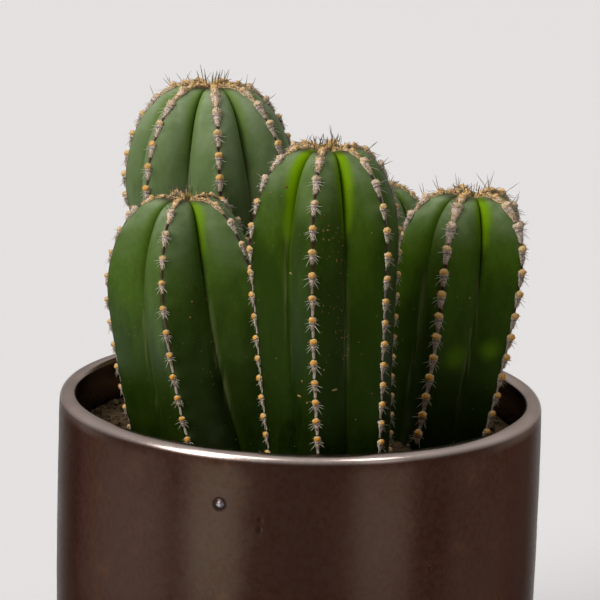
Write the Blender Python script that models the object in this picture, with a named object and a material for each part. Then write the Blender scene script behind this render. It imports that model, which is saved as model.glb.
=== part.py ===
"""Potted tall cactus: five ribbed columns of one plant in a round glazed pot.

Every length below is in millimetres and every angle in degrees. The mesh
helpers turn them into metres. The origin is the centre of the pot's underside,
+Z is up, and the plant's best side faces -Y. A bearing is measured about +Z,
from -Y towards +X.
"""

import math
from typing import NamedTuple

import bmesh
import bpy

MM = 0.001
GAP = 0.35              # clear space between pieces that touch

# Pot: a straight-sided planter with a soft belly and a rounded lip
POT_HEIGHT = 120.0
LIP_RADIUS = 67.5       # outside, just under the lip
BELLY = 0.45            # how far the wall swells at BELLY_HEIGHT
BELLY_HEIGHT = 76.0
FOOT_RADIUS = 65.6      # outside, where the foot's rounding starts
FOOT_ROUND = 5.0
WALL = 4.6
FLOOR = 6.0
FLOOR_ROUND = 9.0       # inside corner of the floor
LIP_OUTER_ROUND = 2.6
LIP_INNER_ROUND = 1.9
POT_SIDES = 64

# Soil
SOIL_LEVEL = 107.6
SOIL_UNEVEN = 0.8
SOIL_RINGS = 5
SOIL_SIDES = 40

# Stems
BURIED = 26.0           # how deep a stem's foot sits in the soil
ROOT_ROUND = 9.0        # height of the rounded foot
SOCKET_ABOVE = 4.0      # how far the cutter of a stem's socket stands above the soil
CREST_POINTS = (-1.0, -0.5, 0.0, 0.5)   # across a rib, from valley to crest
FACE_BULGE = 0.035      # how much a rib's face swells past a straight line
DIMPLE = 2.2            # depth of the hollow at the growing tip
DIMPLE_SPREAD = 0.25    # its reach, as a share of the stem's radius

# Rows of woolly areoles, one along each rib's crest
AREOLE_PITCH = 6.2
AREOLE_HALF_WIDTH = 1.0
LINK_HALF_WIDTH = 0.55
AREOLE_HEIGHT = 1.15
LINK_HEIGHT = 0.6
ROW_START = 2.9         # how far from the stem's axis a row begins
ROW_ABOVE_SOIL = 2.2

# Young needles standing in the hollow at each tip
TUFT_RADIUS = 2.0
TUFT_HEIGHT = 4.5
TUFT_SINK = 1.3         # how far its base lies under the stem's nominal top


class Stem(NamedTuple):
    """One ribbed column."""

    ribs: int
    turn: float         # bearing of its first rib
    foot: tuple         # axis at soil level, x and y
    lean: tuple         # how far the tip stands from the foot, x and y
    top: float          # height of the tip
    radius: float       # axis to rib crest at the widest place
    dome: float         # height of the rounded top
    round_power: float  # fullness of the dome
    valley: float       # valley radius as a share of the crest's
    taper: float        # share of the radius lost at soil level


STEMS = {
    "centre": Stem(6, -9.5, (8.5, -38.0), (-3.6, 0.0), 196.5, 20.5, 27.8, 2.80, 0.72, 0.19),
    "left": Stem(5, -16.0, (-21.6, -7.0), (-11.4, -1.0), 176.8, 22.9, 33.4, 2.43, 0.68, -0.08),
    "right": Stem(5, -21.2, (37.7, 0.0), (7.6, 0.0), 178.3, 18.7, 19.6, 2.70, 0.70, 0.13),
    "tall": Stem(7, 7.0, (-18.8, 33.0), (-9.5, 7.5), 201.1, 25.6, 33.0, 2.25, 0.79, 0.40),
    "small": Stem(6, 20.0, (19.0, 33.0), (2.0, 3.0), 173.6, 15.8, 19.0, 2.30, 0.74, 0.08),
}

GLAZE = ((0.052, 0.034, 0.030), 0.32, 0.0)
SOIL = ((0.060, 0.038, 0.026), 0.95, 0.0)
SKIN = ((0.060, 0.130, 0.030), 0.45, 0.0)
WOOL = ((0.620, 0.420, 0.240), 0.95, 0.0)
NEEDLE = ((0.110, 0.100, 0.095), 0.50, 0.0)


def clear_scene() -> None:
    """Remove the objects that the file opened with."""
    for old in list(bpy.data.objects):
        bpy.data.objects.remove(old, do_unlink=True)


def coat(piece: bpy.types.Object, finish: tuple) -> None:
    """Give a piece its own Principled material."""
    colour, roughness, metallic = finish
    material = bpy.data.materials.new(piece.name + "_finish")
    material.use_nodes = True
    shader = material.node_tree.nodes["Principled BSDF"]
    shader.inputs["Base Color"].default_value = (*colour, 1.0)
    shader.inputs["Roughness"].default_value = roughness
    shader.inputs["Metallic"].default_value = metallic
    piece.data.materials.append(material)


def loft(name: str, rings: list, first_pole: tuple, last_pole: tuple) -> bpy.types.Object:
    """Join rings of points into one closed skin, with a point at each end.

    The rings run counter-clockwise seen from the last pole's side, so that the
    faces point out. The points are in millimetres.
    """
    mesh = bpy.data.meshes.new(name)
    bm = bmesh.new()
    loops = [[bm.verts.new([c * MM for c in point]) for point in ring] for ring in rings]
    start = bm.verts.new([c * MM for c in first_pole])
    end = bm.verts.new([c * MM for c in last_pole])
    sides = len(rings[0])
    for k in range(sides):
        n = (k + 1) % sides
        bm.faces.new((start, loops[0][n], loops[0][k]))
        bm.faces.new((end, loops[-1][k], loops[-1][n]))
        for low, high in zip(loops, loops[1:]):
            bm.faces.new((low[k], low[n], high[n], high[k]))
    bmesh.ops.recalc_face_normals(bm, faces=bm.faces)
    bm.to_mesh(mesh)
    bm.free()
    piece = bpy.data.objects.new(name, mesh)
    bpy.context.scene.collection.objects.link(piece)
    mesh.shade_smooth()
    return piece


def arc(centre: tuple, radius: float, start: float, stop: float, steps: int) -> list:
    """Points on a round, as (distance from the axis, height)."""
    points = []
    for k in range(steps + 1):
        angle = math.radians(start + (stop - start) * k / steps)
        points.append((centre[0] + radius * math.cos(angle), centre[1] + radius * math.sin(angle)))
    return points


def turned(name: str, profile: list, sides: int) -> bpy.types.Object:
    """Turn an outline about Z. It starts and ends on the axis."""
    rings = []
    for radius, height in profile[1:-1]:
        ring = []
        for k in range(sides):
            angle = math.tau * k / sides
            ring.append((radius * math.cos(angle), radius * math.sin(angle), height))
        rings.append(ring)
    return loft(name, rings, (0.0, 0.0, profile[0][1]), (0.0, 0.0, profile[-1][1]))


def wall_radius(height: float) -> float:
    """Outside radius of the pot at a height: a soft belly between lip and foot."""
    if height >= BELLY_HEIGHT:
        share = (height - BELLY_HEIGHT) / (POT_HEIGHT - BELLY_HEIGHT)
        return LIP_RADIUS + BELLY * (1.0 - share * share)
    share = (BELLY_HEIGHT - height) / (BELLY_HEIGHT - FOOT_ROUND)
    return LIP_RADIUS + BELLY - (LIP_RADIUS + BELLY - FOOT_RADIUS) * share * share


def inner_radius() -> float:
    """Inside radius of the pot, which is straight."""
    return LIP_RADIUS - WALL


def build_pot() -> bpy.types.Object:
    """The glazed pot: flat underside, rounded foot, belly, lip and a flat floor inside."""
    inside = inner_radius()
    profile = [(0.0, 0.0)]
    profile += arc((FOOT_RADIUS - FOOT_ROUND, FOOT_ROUND), FOOT_ROUND, -90, 0, 4)
    for height in (22.0, 40.0, 58.0, 76.0, 96.0):
        profile.append((wall_radius(height), height))
    lip = (LIP_RADIUS - LIP_OUTER_ROUND, POT_HEIGHT - LIP_OUTER_ROUND)
    profile += arc(lip, LIP_OUTER_ROUND, 0, 90, 4)
    lip = (inside + LIP_INNER_ROUND, POT_HEIGHT - LIP_INNER_ROUND)
    profile += arc(lip, LIP_INNER_ROUND, 90, 180, 3)
    corner = (inside - FLOOR_ROUND, FLOOR + FLOOR_ROUND)
    profile += [(corner[0] + FLOOR_ROUND * math.cos(a), corner[1] - FLOOR_ROUND * math.sin(a))
                for a in (0.0, math.pi / 6, math.pi / 3, math.pi / 2)]
    profile.append((0.0, FLOOR))
    return turned("pot", profile, POT_SIDES)


def soil_height(x: float, y: float) -> float:
    """Height of the uneven soil surface."""
    waves = math.sin(0.11 * x + 0.6) * math.cos(0.13 * y - 0.4) + 0.5 * math.sin(0.23 * x - 0.17 * y)
    return SOIL_LEVEL + SOIL_UNEVEN * waves / 1.5


def build_soil() -> bpy.types.Object:
    """The soil, filling the pot with a small clearance all round."""
    outside = inner_radius() - GAP
    low = FLOOR + GAP
    rounding = FLOOR_ROUND
    outline = [(outside - rounding, low), (outside - 0.3 * rounding, low + 0.3 * rounding),
               (outside, low + rounding)]
    rings = []
    for radius, height in outline:
        rings.append([around(radius, k, SOIL_SIDES) + (height,) for k in range(SOIL_SIDES)])
    for step in range(SOIL_RINGS):
        radius = outside * (1.0 - step / SOIL_RINGS)
        ring = [around(radius, k, SOIL_SIDES) for k in range(SOIL_SIDES)]
        rings.append([(x, y, soil_height(x, y)) for x, y in ring])
    soil = loft("soil", rings, (0.0, 0.0, low), (0.0, 0.0, soil_height(0.0, 0.0)))
    for name, stem in STEMS.items():
        cut = soil.modifiers.new("socket_" + name, "BOOLEAN")
        cut.operation = "DIFFERENCE"
        cut.solver = "EXACT"
        cut.object = build_socket(name, stem)
    return soil


def around(radius: float, k: int, sides: int) -> tuple:
    """The k-th of evenly spaced points on a circle about Z."""
    angle = math.tau * k / sides
    return (radius * math.cos(angle), radius * math.sin(angle))


def axis_at(stem: Stem, height: float) -> tuple:
    """Where a stem's axis is at a height, as x and y: it leans out, then straightens."""
    share = max((height - SOIL_LEVEL) / (stem.top - SOIL_LEVEL), 0.0)
    leaning = 1.0 - (1.0 - share) ** 2
    return (stem.foot[0] + stem.lean[0] * leaning, stem.foot[1] + stem.lean[1] * leaning)


def crest_radius(stem: Stem, height: float) -> float:
    """Distance from a stem's axis to its rib crests at a height."""
    depth = stem.top - height
    if depth < stem.dome:
        share = 1.0 - depth / stem.dome
        return stem.radius * (1.0 - share * share) ** (1.0 / stem.round_power)
    shaft = stem.top - stem.dome - SOIL_LEVEL
    return stem.radius * (1.0 - stem.taper * min((depth - stem.dome) / shaft, 1.0))


def tip_drop(stem: Stem, radius: float) -> float:
    """How far the hollow at the tip lowers the skin at a distance from the axis."""
    return DIMPLE * math.exp(-(radius / (DIMPLE_SPREAD * stem.radius)) ** 2)


def section_share(stem: Stem, across: float) -> float:
    """Radius as a share of the crest's, at -1 and 1 in the valleys and 0 on the crest.

    Each face of a rib is a straight line from crest to valley with a slight swell.
    """
    half = math.pi / stem.ribs
    angle = abs(across) * half
    straight = stem.valley * math.sin(half) / (math.sin(angle) + stem.valley * math.sin(half - angle))
    return straight * (1.0 + FACE_BULGE * math.sin(math.pi * abs(across)))


def stem_ring(stem: Stem, height: float, radius: float, grow: float = 0.0) -> list:
    """One level cross-section of a stem."""
    x, y = axis_at(stem, height)
    ring = []
    for rib in range(stem.ribs):
        for across in CREST_POINTS:
            bearing = math.radians(stem.turn) + (2 * rib + across) * math.pi / stem.ribs
            reach = radius * section_share(stem, across) + grow
            ring.append((x + reach * math.sin(bearing), y - reach * math.cos(bearing), height))
    return ring


def dome_ring(stem: Stem, share: float) -> list:
    """A cross-section of the rounded top, at a share of the dome's height."""
    height = stem.top - stem.dome * (1.0 - share)
    radius = crest_radius(stem, height)
    drop = tip_drop(stem, radius)
    return [(x, y, z - drop) for x, y, z in stem_ring(stem, height, radius)]


def buried_rings(stem: Stem, grow: float = 0.0) -> list:
    """The rounded foot of a stem, from its lowest ring up to just under the soil surface."""
    rings = []
    full = crest_radius(stem, SOIL_LEVEL)
    low = SOIL_LEVEL - BURIED
    for angle in (20.0, 50.0, 90.0):
        height = low + ROOT_ROUND * (1.0 - math.cos(math.radians(angle)))
        rings.append(stem_ring(stem, height, full * math.sin(math.radians(angle)), grow))
    return rings


def build_stem(name: str, stem: Stem) -> bpy.types.Object:
    """One ribbed column, from its rounded foot in the soil to its growing tip."""
    rings = buried_rings(stem)
    shaft = stem.top - stem.dome - SOIL_LEVEL
    for share in (0.0, 0.33, 0.67):
        height = SOIL_LEVEL + shaft * share
        rings.append(stem_ring(stem, height, crest_radius(stem, height)))
    for share in (0.0, 0.36, 0.62, 0.80, 0.91, 0.97, 0.993):
        rings.append(dome_ring(stem, share))
    foot = (*stem.foot, SOIL_LEVEL - BURIED)
    tip = (*axis_at(stem, stem.top), stem.top - DIMPLE)
    return loft("stem_" + name, rings, foot, tip)


def build_socket(name: str, stem: Stem) -> bpy.types.Object:
    """The hollow that a stem's foot makes in the soil, a little larger than the foot."""
    rings = buried_rings(stem, GAP)
    for height in (SOIL_LEVEL, SOIL_LEVEL + SOCKET_ABOVE):
        rings.append(stem_ring(stem, height, crest_radius(stem, height), GAP))
    low = (*stem.foot, SOIL_LEVEL - BURIED - GAP)
    cutter = loft("cut_" + name, rings, low, (*stem.foot, SOIL_LEVEL + SOCKET_ABOVE))
    cutter.hide_render = True
    cutter.display_type = "WIRE"
    return cutter


def crest_point(stem: Stem, bearing: float, height: float) -> tuple:
    """A point on a rib's crest."""
    x, y = axis_at(stem, height)
    radius = crest_radius(stem, height)
    drop = tip_drop(stem, radius)
    return (x + radius * math.sin(bearing), y - radius * math.cos(bearing), height - drop)


def crest_stations(stem: Stem, bearing: float) -> list:
    """Evenly spaced points along a crest, from the tip down, half an areole pitch apart."""
    fine = []
    steps = 400
    for k in range(steps + 1):
        share = (k / steps) ** 2
        height = stem.top - share * (stem.top - SOIL_LEVEL - ROW_ABOVE_SOIL)
        if crest_radius(stem, height) >= ROW_START:
            fine.append(crest_point(stem, bearing, height))
    length = sum(math.dist(a, b) for a, b in zip(fine, fine[1:]))
    count = 2 * round(length / AREOLE_PITCH)
    stations = [fine[0]]
    walked = 0.0
    for a, b in zip(fine, fine[1:]):
        walked += math.dist(a, b)
        if walked >= length * len(stations) / count:
            stations.append(b)
    return stations


def build_row(name: str, stem: Stem, rib: int) -> bpy.types.Object:
    """The felt along one crest, wide and high at each areole and narrow between them."""
    bearing = math.radians(stem.turn) + math.tau * rib / stem.ribs
    side = (math.cos(bearing), math.sin(bearing), 0.0)
    stations = crest_stations(stem, bearing)
    rings = []
    for k, point in enumerate(stations):
        before = stations[max(k - 1, 0)]
        after = stations[min(k + 1, len(stations) - 1)]
        down = [(b - a) / math.dist(before, after) for a, b in zip(before, after)]
        out = (side[1] * down[2], -side[0] * down[2], side[0] * down[1] - side[1] * down[0])
        out = [-c for c in out]
        areole = k % 2 == 1
        half = AREOLE_HALF_WIDTH if areole else LINK_HALF_WIDTH
        rise = AREOLE_HEIGHT if areole else LINK_HEIGHT
        ring = []
        for sideways, outward in ((-half, GAP), (0.0, rise + GAP), (half, GAP)):
            ring.append(tuple(p + sideways * s + outward * o for p, s, o in zip(point, side, out)))
        rings.append(ring)
    return loft(f"areoles_{name}_{rib + 1}", rings, middle(rings[0]), middle(rings[-1]))


def middle(ring: list) -> tuple:
    """The middle of a ring of points."""
    return tuple(sum(values) / len(ring) for values in zip(*ring))


def build_tuft(name: str, stem: Stem) -> bpy.types.Object:
    """The young needles that stand on the growing tip, as one blunt cone."""
    x, y = axis_at(stem, stem.top)
    base = stem.top - TUFT_SINK
    rings = []
    for radius, rise in ((TUFT_RADIUS, 0.0), (0.75 * TUFT_RADIUS, 0.5 * TUFT_HEIGHT)):
        ring = [around(radius, k, 10) for k in range(10)]
        rings.append([(x + a, y + b, base + rise) for a, b in ring])
    return loft("tip_spines_" + name, rings, (x, y, base), (x, y, base + TUFT_HEIGHT))


def main() -> None:
    """Build every piece of the potted cactus."""
    clear_scene()
    coat(build_pot(), GLAZE)
    coat(build_soil(), SOIL)
    for name, stem in STEMS.items():
        coat(build_stem(name, stem), SKIN)
        coat(build_tuft(name, stem), NEEDLE)
        for rib in range(stem.ribs):
            coat(build_row(name, stem, rib), WOOL)


main()
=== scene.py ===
"""Looks of a potted tall cactus: five ribbed, woolly columns in a bronze-glazed pot.

Sizes are in millimetres and angles in degrees, unless a name says otherwise, and
MM turns a length into metres. A bearing is measured about +Z, from -Y towards +X.
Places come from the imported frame: the pot's box, the feet of the stems and the
points of the needles that stand on their tips.
"""
import bisect
import logging
import math
import random
from dataclasses import dataclass, field
from enum import Enum
from functools import reduce
from typing import Iterable, Sequence, Union

import bmesh
import bpy
from mathutils import Euler, Matrix, Vector, noise


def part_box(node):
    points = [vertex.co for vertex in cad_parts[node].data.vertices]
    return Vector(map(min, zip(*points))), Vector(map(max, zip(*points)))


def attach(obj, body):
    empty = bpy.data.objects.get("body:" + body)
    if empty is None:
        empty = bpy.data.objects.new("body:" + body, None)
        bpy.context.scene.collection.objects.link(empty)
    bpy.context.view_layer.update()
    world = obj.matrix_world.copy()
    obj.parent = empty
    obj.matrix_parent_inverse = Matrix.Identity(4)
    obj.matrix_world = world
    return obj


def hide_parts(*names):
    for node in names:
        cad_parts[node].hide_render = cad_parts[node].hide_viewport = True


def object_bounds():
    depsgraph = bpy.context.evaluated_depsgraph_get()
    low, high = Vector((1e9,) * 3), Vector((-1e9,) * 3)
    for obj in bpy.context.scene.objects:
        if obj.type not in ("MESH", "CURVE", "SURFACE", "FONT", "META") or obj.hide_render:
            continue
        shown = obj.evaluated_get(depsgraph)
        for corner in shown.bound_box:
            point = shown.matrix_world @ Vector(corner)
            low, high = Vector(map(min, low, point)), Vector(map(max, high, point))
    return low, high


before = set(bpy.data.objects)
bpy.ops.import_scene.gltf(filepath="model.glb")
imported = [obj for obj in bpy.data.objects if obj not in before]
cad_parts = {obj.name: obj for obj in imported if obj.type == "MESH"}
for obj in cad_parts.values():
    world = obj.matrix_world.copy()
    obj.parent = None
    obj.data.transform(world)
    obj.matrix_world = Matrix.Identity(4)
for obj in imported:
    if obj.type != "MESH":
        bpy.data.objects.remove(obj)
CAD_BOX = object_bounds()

LOG = logging.getLogger("potted_cactus")
MM = 0.001
BODY = "root"
USUAL_RADIUS = 21.0     # a usual column's radius, which areoles and needles are sized against
GOLDEN_ANGLE = 137.5    # spreads needles evenly round a tip

Colour = tuple[float, float, float]
Source = Union[bpy.types.NodeSocket, float, Colour]
Face = tuple[int, ...]
Shape = tuple[list[Vector], list[Face]]
Socket = bpy.types.NodeSocket
Material = bpy.types.Material
Object = bpy.types.Object


class Slot(Enum):
    """The record's material slots."""

    GLAZE = "pot_glaze"
    SOIL = "soil"
    SKIN = "cactus_skin"
    WOOL = "areole_wool"
    SPINES = "spines"


# ---------------------------------------------------------------- small helpers

def eased(value: float, low: float, high: float) -> float:
    """How far a value has come from low to high, as a share that starts and ends gently.

    Args:
        value: The value to place.
        low: Where the share is 0. It may lie above high.
        high: Where the share is 1.

    Returns:
        A number from 0 to 1.
    """
    share = min(max((value - low) / (high - low), 0.0), 1.0)
    return share * share * (3.0 - 2.0 * share)


def between(first: float, second: float, share: float) -> float:
    """Return the number that lies a share of the way from first to second."""
    return first + (second - first) * share


def wander(point: Vector, size: float, seed: float = 0.0) -> float:
    """Return smooth noise from -1 to 1, with bumps about size millimetres apart."""
    return noise.noise(point / size + Vector((seed, 0.37 * seed, -0.71 * seed)))


def read_off(place: float, places: list[float], values: list[float]) -> float:
    """Return the value at a place between listed places, held at the first and the last."""
    k = min(max(bisect.bisect_left(places, place), 1), len(places) - 1)
    share = (place - places[k - 1]) / max(places[k] - places[k - 1], 1e-9)
    return between(values[k - 1], values[k], min(max(share, 0.0), 1.0))


def heading(bearing: float) -> Vector:
    """Return the level unit vector at a bearing in degrees."""
    angle = math.radians(bearing)
    return Vector((math.sin(angle), -math.cos(angle), 0.0))


def aloft(bearing: float, elevation: float) -> Vector:
    """Return the unit vector at a bearing and an elevation in degrees."""
    lift = math.radians(elevation)
    return heading(bearing) * math.cos(lift) + Vector((0, 0, math.sin(lift)))


def node_points(node: str) -> list[Vector]:
    """Return the points of a CAD node in millimetres."""
    return [vertex.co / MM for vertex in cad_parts[node].data.vertices]


def node_box(node: str) -> tuple[Vector, Vector]:
    """Return a CAD node's lowest and highest corners in millimetres."""
    low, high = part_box(node)
    return low / MM, high / MM


# ---------------------------------------------------------------- meshes

class Piece:
    """Gathers closed bodies into one mesh, with named values at its points."""

    def __init__(self, name: str, *values: str) -> None:
        """Start an empty piece.

        Args:
            name: The piece's name.
            values: Names of the numbers that each point carries.
        """
        self.name = name
        self.points: list[Vector] = []
        self.faces: list[Face] = []
        self.values: dict[str, list[float]] = {value: [] for value in values}

    def add(self, shape: Shape, **values: Union[float, list[float]]) -> None:
        """Add one closed body.

        Args:
            shape: Its points and faces.
            values: For each named value, one number for the body or one for each point.
        """
        points, faces = shape
        first = len(self.points)
        self.points.extend(points)
        self.faces.extend(tuple(first + corner for corner in face) for face in faces)
        for name, held in self.values.items():
            given = values[name]
            held.extend(given if isinstance(given, list) else [given] * len(points))

    def build(self, material: Material, slot: Slot, *nodes: str) -> Object:
        """Make the object, dress it and fasten it to the frame.

        Args:
            material: Its finish.
            slot: The record's slot for that finish. Not used.
            nodes: The CAD nodes that it stands for.

        Returns:
            The finished object.
        """
        mesh = bpy.data.meshes.new(self.name)
        mesh.from_pydata([point * MM for point in self.points], [], self.faces)
        for name, held in self.values.items():
            layer = mesh.attributes.new(name, "FLOAT", "POINT")
            layer.data.foreach_set("value", held)
        work = bmesh.new()
        work.from_mesh(mesh)
        bmesh.ops.recalc_face_normals(work, faces=work.faces)
        work.to_mesh(mesh)
        work.free()
        mesh.shade_smooth()
        mesh.materials.append(material)
        made = bpy.data.objects.new(self.name, mesh)
        bpy.context.scene.collection.objects.link(made)
        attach(made, BODY)
        if nodes:
            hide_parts(*nodes)
        LOG.info("%s: %d points, %d faces", self.name, len(self.points), len(self.faces))
        return made


def loft(rings: Sequence[Sequence[Vector]], first: Vector, last: Vector) -> Shape:
    """Join rings of points into one closed skin with a point at each end.

    Args:
        rings: Rings with the same number of points each.
        first: The point that closes the first ring.
        last: The point that closes the last ring.

    Returns:
        The points, ring by ring and then the two ends, and the faces.
    """
    sides = len(rings[0])
    points = [point for ring in rings for point in ring] + [first, last]
    start, end = len(points) - 2, len(points) - 1
    top = sides * (len(rings) - 1)
    faces: list[Face] = []
    for k in range(sides):
        n = (k + 1) % sides
        faces.append((start, n, k))
        faces.append((end, top + k, top + n))
        for base in range(0, top, sides):
            faces.append((base + k, base + n, base + sides + n, base + sides + k))
    return points, faces


@dataclass(frozen=True)
class Spot:
    """A place on a surface with its own three directions."""

    point: Vector
    side: Vector
    down: Vector
    out: Vector

    def at(self, sideways: float, downward: float, outward: float) -> Vector:
        """Return the point that lies that far off along the three directions."""
        return self.point + self.side * sideways + self.down * downward + self.out * outward

    def way(self, sideways: float, downward: float, outward: float) -> Vector:
        """Return the unit vector with those shares of the three directions."""
        return (self.side * sideways + self.down * downward + self.out * outward).normalized()


def lump(spot: Spot, half: tuple[float, float, float], rough: float, seed: float,
         rings: int = 7, sides: int = 12) -> Shape:
    """Make an uneven rounded lump centred on a spot.

    Args:
        spot: Its centre and directions.
        half: Half its size sideways, downward and outward.
        rough: How uneven it is, as a share of its size.
        seed: Picks its own unevenness.
        rings: Rings between its two ends.
        sides: Points on each ring.

    Returns:
        Its points and faces.
    """
    def skin(tilt: float, turn: float) -> Vector:
        """Return the lump's point at a tilt from outward and a turn round it."""
        across, along = math.sin(tilt) * math.cos(turn), math.sin(tilt) * math.sin(turn)
        unit = Vector((across, along, math.cos(tilt)))
        swell = 1.0 + rough * wander(unit, 0.62, seed)
        return spot.at(half[0] * unit.x * swell, half[1] * unit.y * swell, half[2] * unit.z * swell)

    made = [[skin(math.pi * (ring + 1) / (rings + 1), math.tau * k / sides) for k in range(sides)]
            for ring in range(rings)]
    return loft(made, skin(0.0, 0.0), skin(math.pi, 0.0))


def ring_round(middle: Vector, way: Vector, radius: float, sides: int, turn: float = 0.0) -> list[Vector]:
    """Return points evenly spaced on a circle that lies square to the unit vector way."""
    across = way.orthogonal().normalized()
    other = way.cross(across)
    turns = [turn + k * math.tau / sides for k in range(sides)]
    return [middle + (across * math.cos(angle) + other * math.sin(angle)) * radius for angle in turns]


def hair(root: Vector, way: Vector, length: float, thick: float, turn: float) -> Shape:
    """Make one short fibre: a slim three-sided point.

    Args:
        root: The middle of its foot.
        way: The unit vector that it grows along.
        length: Its length.
        thick: Half its thickness at the foot.
        turn: Turns its three sides, in radians.

    Returns:
        Its points and faces.
    """
    foot = ring_round(root, way, thick, 3, turn)
    return foot + [root + way * length], [(0, 1, 3), (1, 2, 3), (2, 0, 3), (2, 1, 0)]


def needle(root: Vector, way: Vector, bend: Vector, length: float, thick: float,
           sides: int = 5) -> tuple[list[Vector], list[Face], list[float]]:
    """Make one tapered spine, slightly bent.

    Args:
        root: The middle of its foot.
        way: The unit vector that it starts along.
        bend: How far its tip is pushed aside.
        length: Its length.
        thick: Half its thickness at the foot.
        sides: Points on each ring.

    Returns:
        Its points, its faces, and how far along the spine each point lies, from 0 to 1.
    """
    rings, along = [], []
    for share, width in ((0.0, 1.0), (0.3, 0.86), (0.62, 0.62), (0.88, 0.3)):
        middle = root + way * length * share + bend * share * share
        rings.append(ring_round(middle, way, thick * width, sides))
        along += [share] * sides
    points, faces = loft(rings, root, root + way * length + bend)
    return points, faces, along + [0.0, 1.0]


def add_needle(piece: Piece, root: Vector, way: Vector, bend: Vector, length: float, thick: float,
               age: float) -> None:
    """Add one spine, as needle() makes it, to a piece with the values along and age."""
    points, faces, along = needle(root, way, bend, length, thick)
    piece.add((points, faces), along=along, age=age)


# ---------------------------------------------------------------- wiring of node trees

class Wiring:
    """A node tree being wired up."""

    def __init__(self, tree: bpy.types.NodeTree) -> None:
        """Take hold of a tree."""
        self.tree = tree

    def add(self, kind: str, inputs: dict[Union[str, int], Source] | None = None,
            **settings: object) -> bpy.types.Node:
        """Add a node.

        Args:
            kind: Its type's name after ShaderNode.
            inputs: What each named or numbered input gets: a socket to join or a plain value.
            settings: The node's own settings, made before its inputs.

        Returns:
            The node.
        """
        node = self.tree.nodes.new("ShaderNode" + kind)
        for name, value in settings.items():
            setattr(node, name, value)
        for key, value in (inputs or {}).items():
            self.feed(node.inputs[key], value)
        return node

    def feed(self, socket: Socket, value: Source) -> None:
        """Join a socket to an input, or set the input's plain value."""
        if isinstance(value, Socket):
            self.tree.links.new(value, socket)
        elif isinstance(value, tuple) and len(socket.default_value) == 4:
            socket.default_value = (*value[:3], 1.0)
        else:
            socket.default_value = value

    def maths(self, operation: str, first: Source, second: Source, clamp: bool = False) -> Socket:
        """Return the result of a sum on two values."""
        return self.add("Math", {0: first, 1: second}, operation=operation, use_clamp=clamp).outputs[0]

    def times(self, *factors: Source) -> Socket:
        """Return the product of the factors."""
        return reduce(lambda first, second: self.maths("MULTIPLY", first, second), factors)

    def plus(self, *terms: Source) -> Socket:
        """Return the sum of the terms."""
        return reduce(lambda first, second: self.maths("ADD", first, second), terms)

    def blend(self, share: Source, first: Source, second: Source) -> Socket:
        """Return two colours mixed by a share."""
        return self.add("Mix", {0: share, 6: first, 7: second}, data_type="RGBA").outputs[2]

    def layered(self, colour: Source, *layers: tuple[Source, Colour]) -> Socket:
        """Return a colour with others laid over it in turn, each where its own mask is."""
        for mask, laid in layers:
            colour = self.blend(mask, colour, laid)
        return colour

    def span(self, value: Source, low: Source, high: Source, to_low: Source = 0.0,
             to_high: Source = 1.0) -> Socket:
        """Return a value carried gently from one range to another, and held inside it."""
        return self.add("MapRange", {0: value, 1: low, 2: high, 3: to_low, 4: to_high},
                        interpolation_type="SMOOTHSTEP").outputs[0]

    def value(self, name: str) -> Socket:
        """Return the number that each point of the mesh carries under a name."""
        return self.add("Attribute", attribute_name=name).outputs["Fac"]

    def ramp(self, value: Source, stops: Iterable[tuple[float, Colour]]) -> Socket:
        """Return the colour that a value picks from stops of (place, colour)."""
        node = self.add("ValToRGB", {0: value})
        stops = list(stops)
        elements = node.color_ramp.elements
        for _ in range(len(stops) - 2):
            elements.new(0.5)
        for element, (place, colour) in zip(elements, stops):
            element.position = place
            element.color = (*colour, 1.0)
        return node.outputs[0]

    def effect(self, tree: bpy.types.NodeTree, **inputs: Source) -> Socket:
        """Place a shared effect with its own values and return its result."""
        return self.add("Group", inputs, node_tree=tree).outputs[0]


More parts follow.
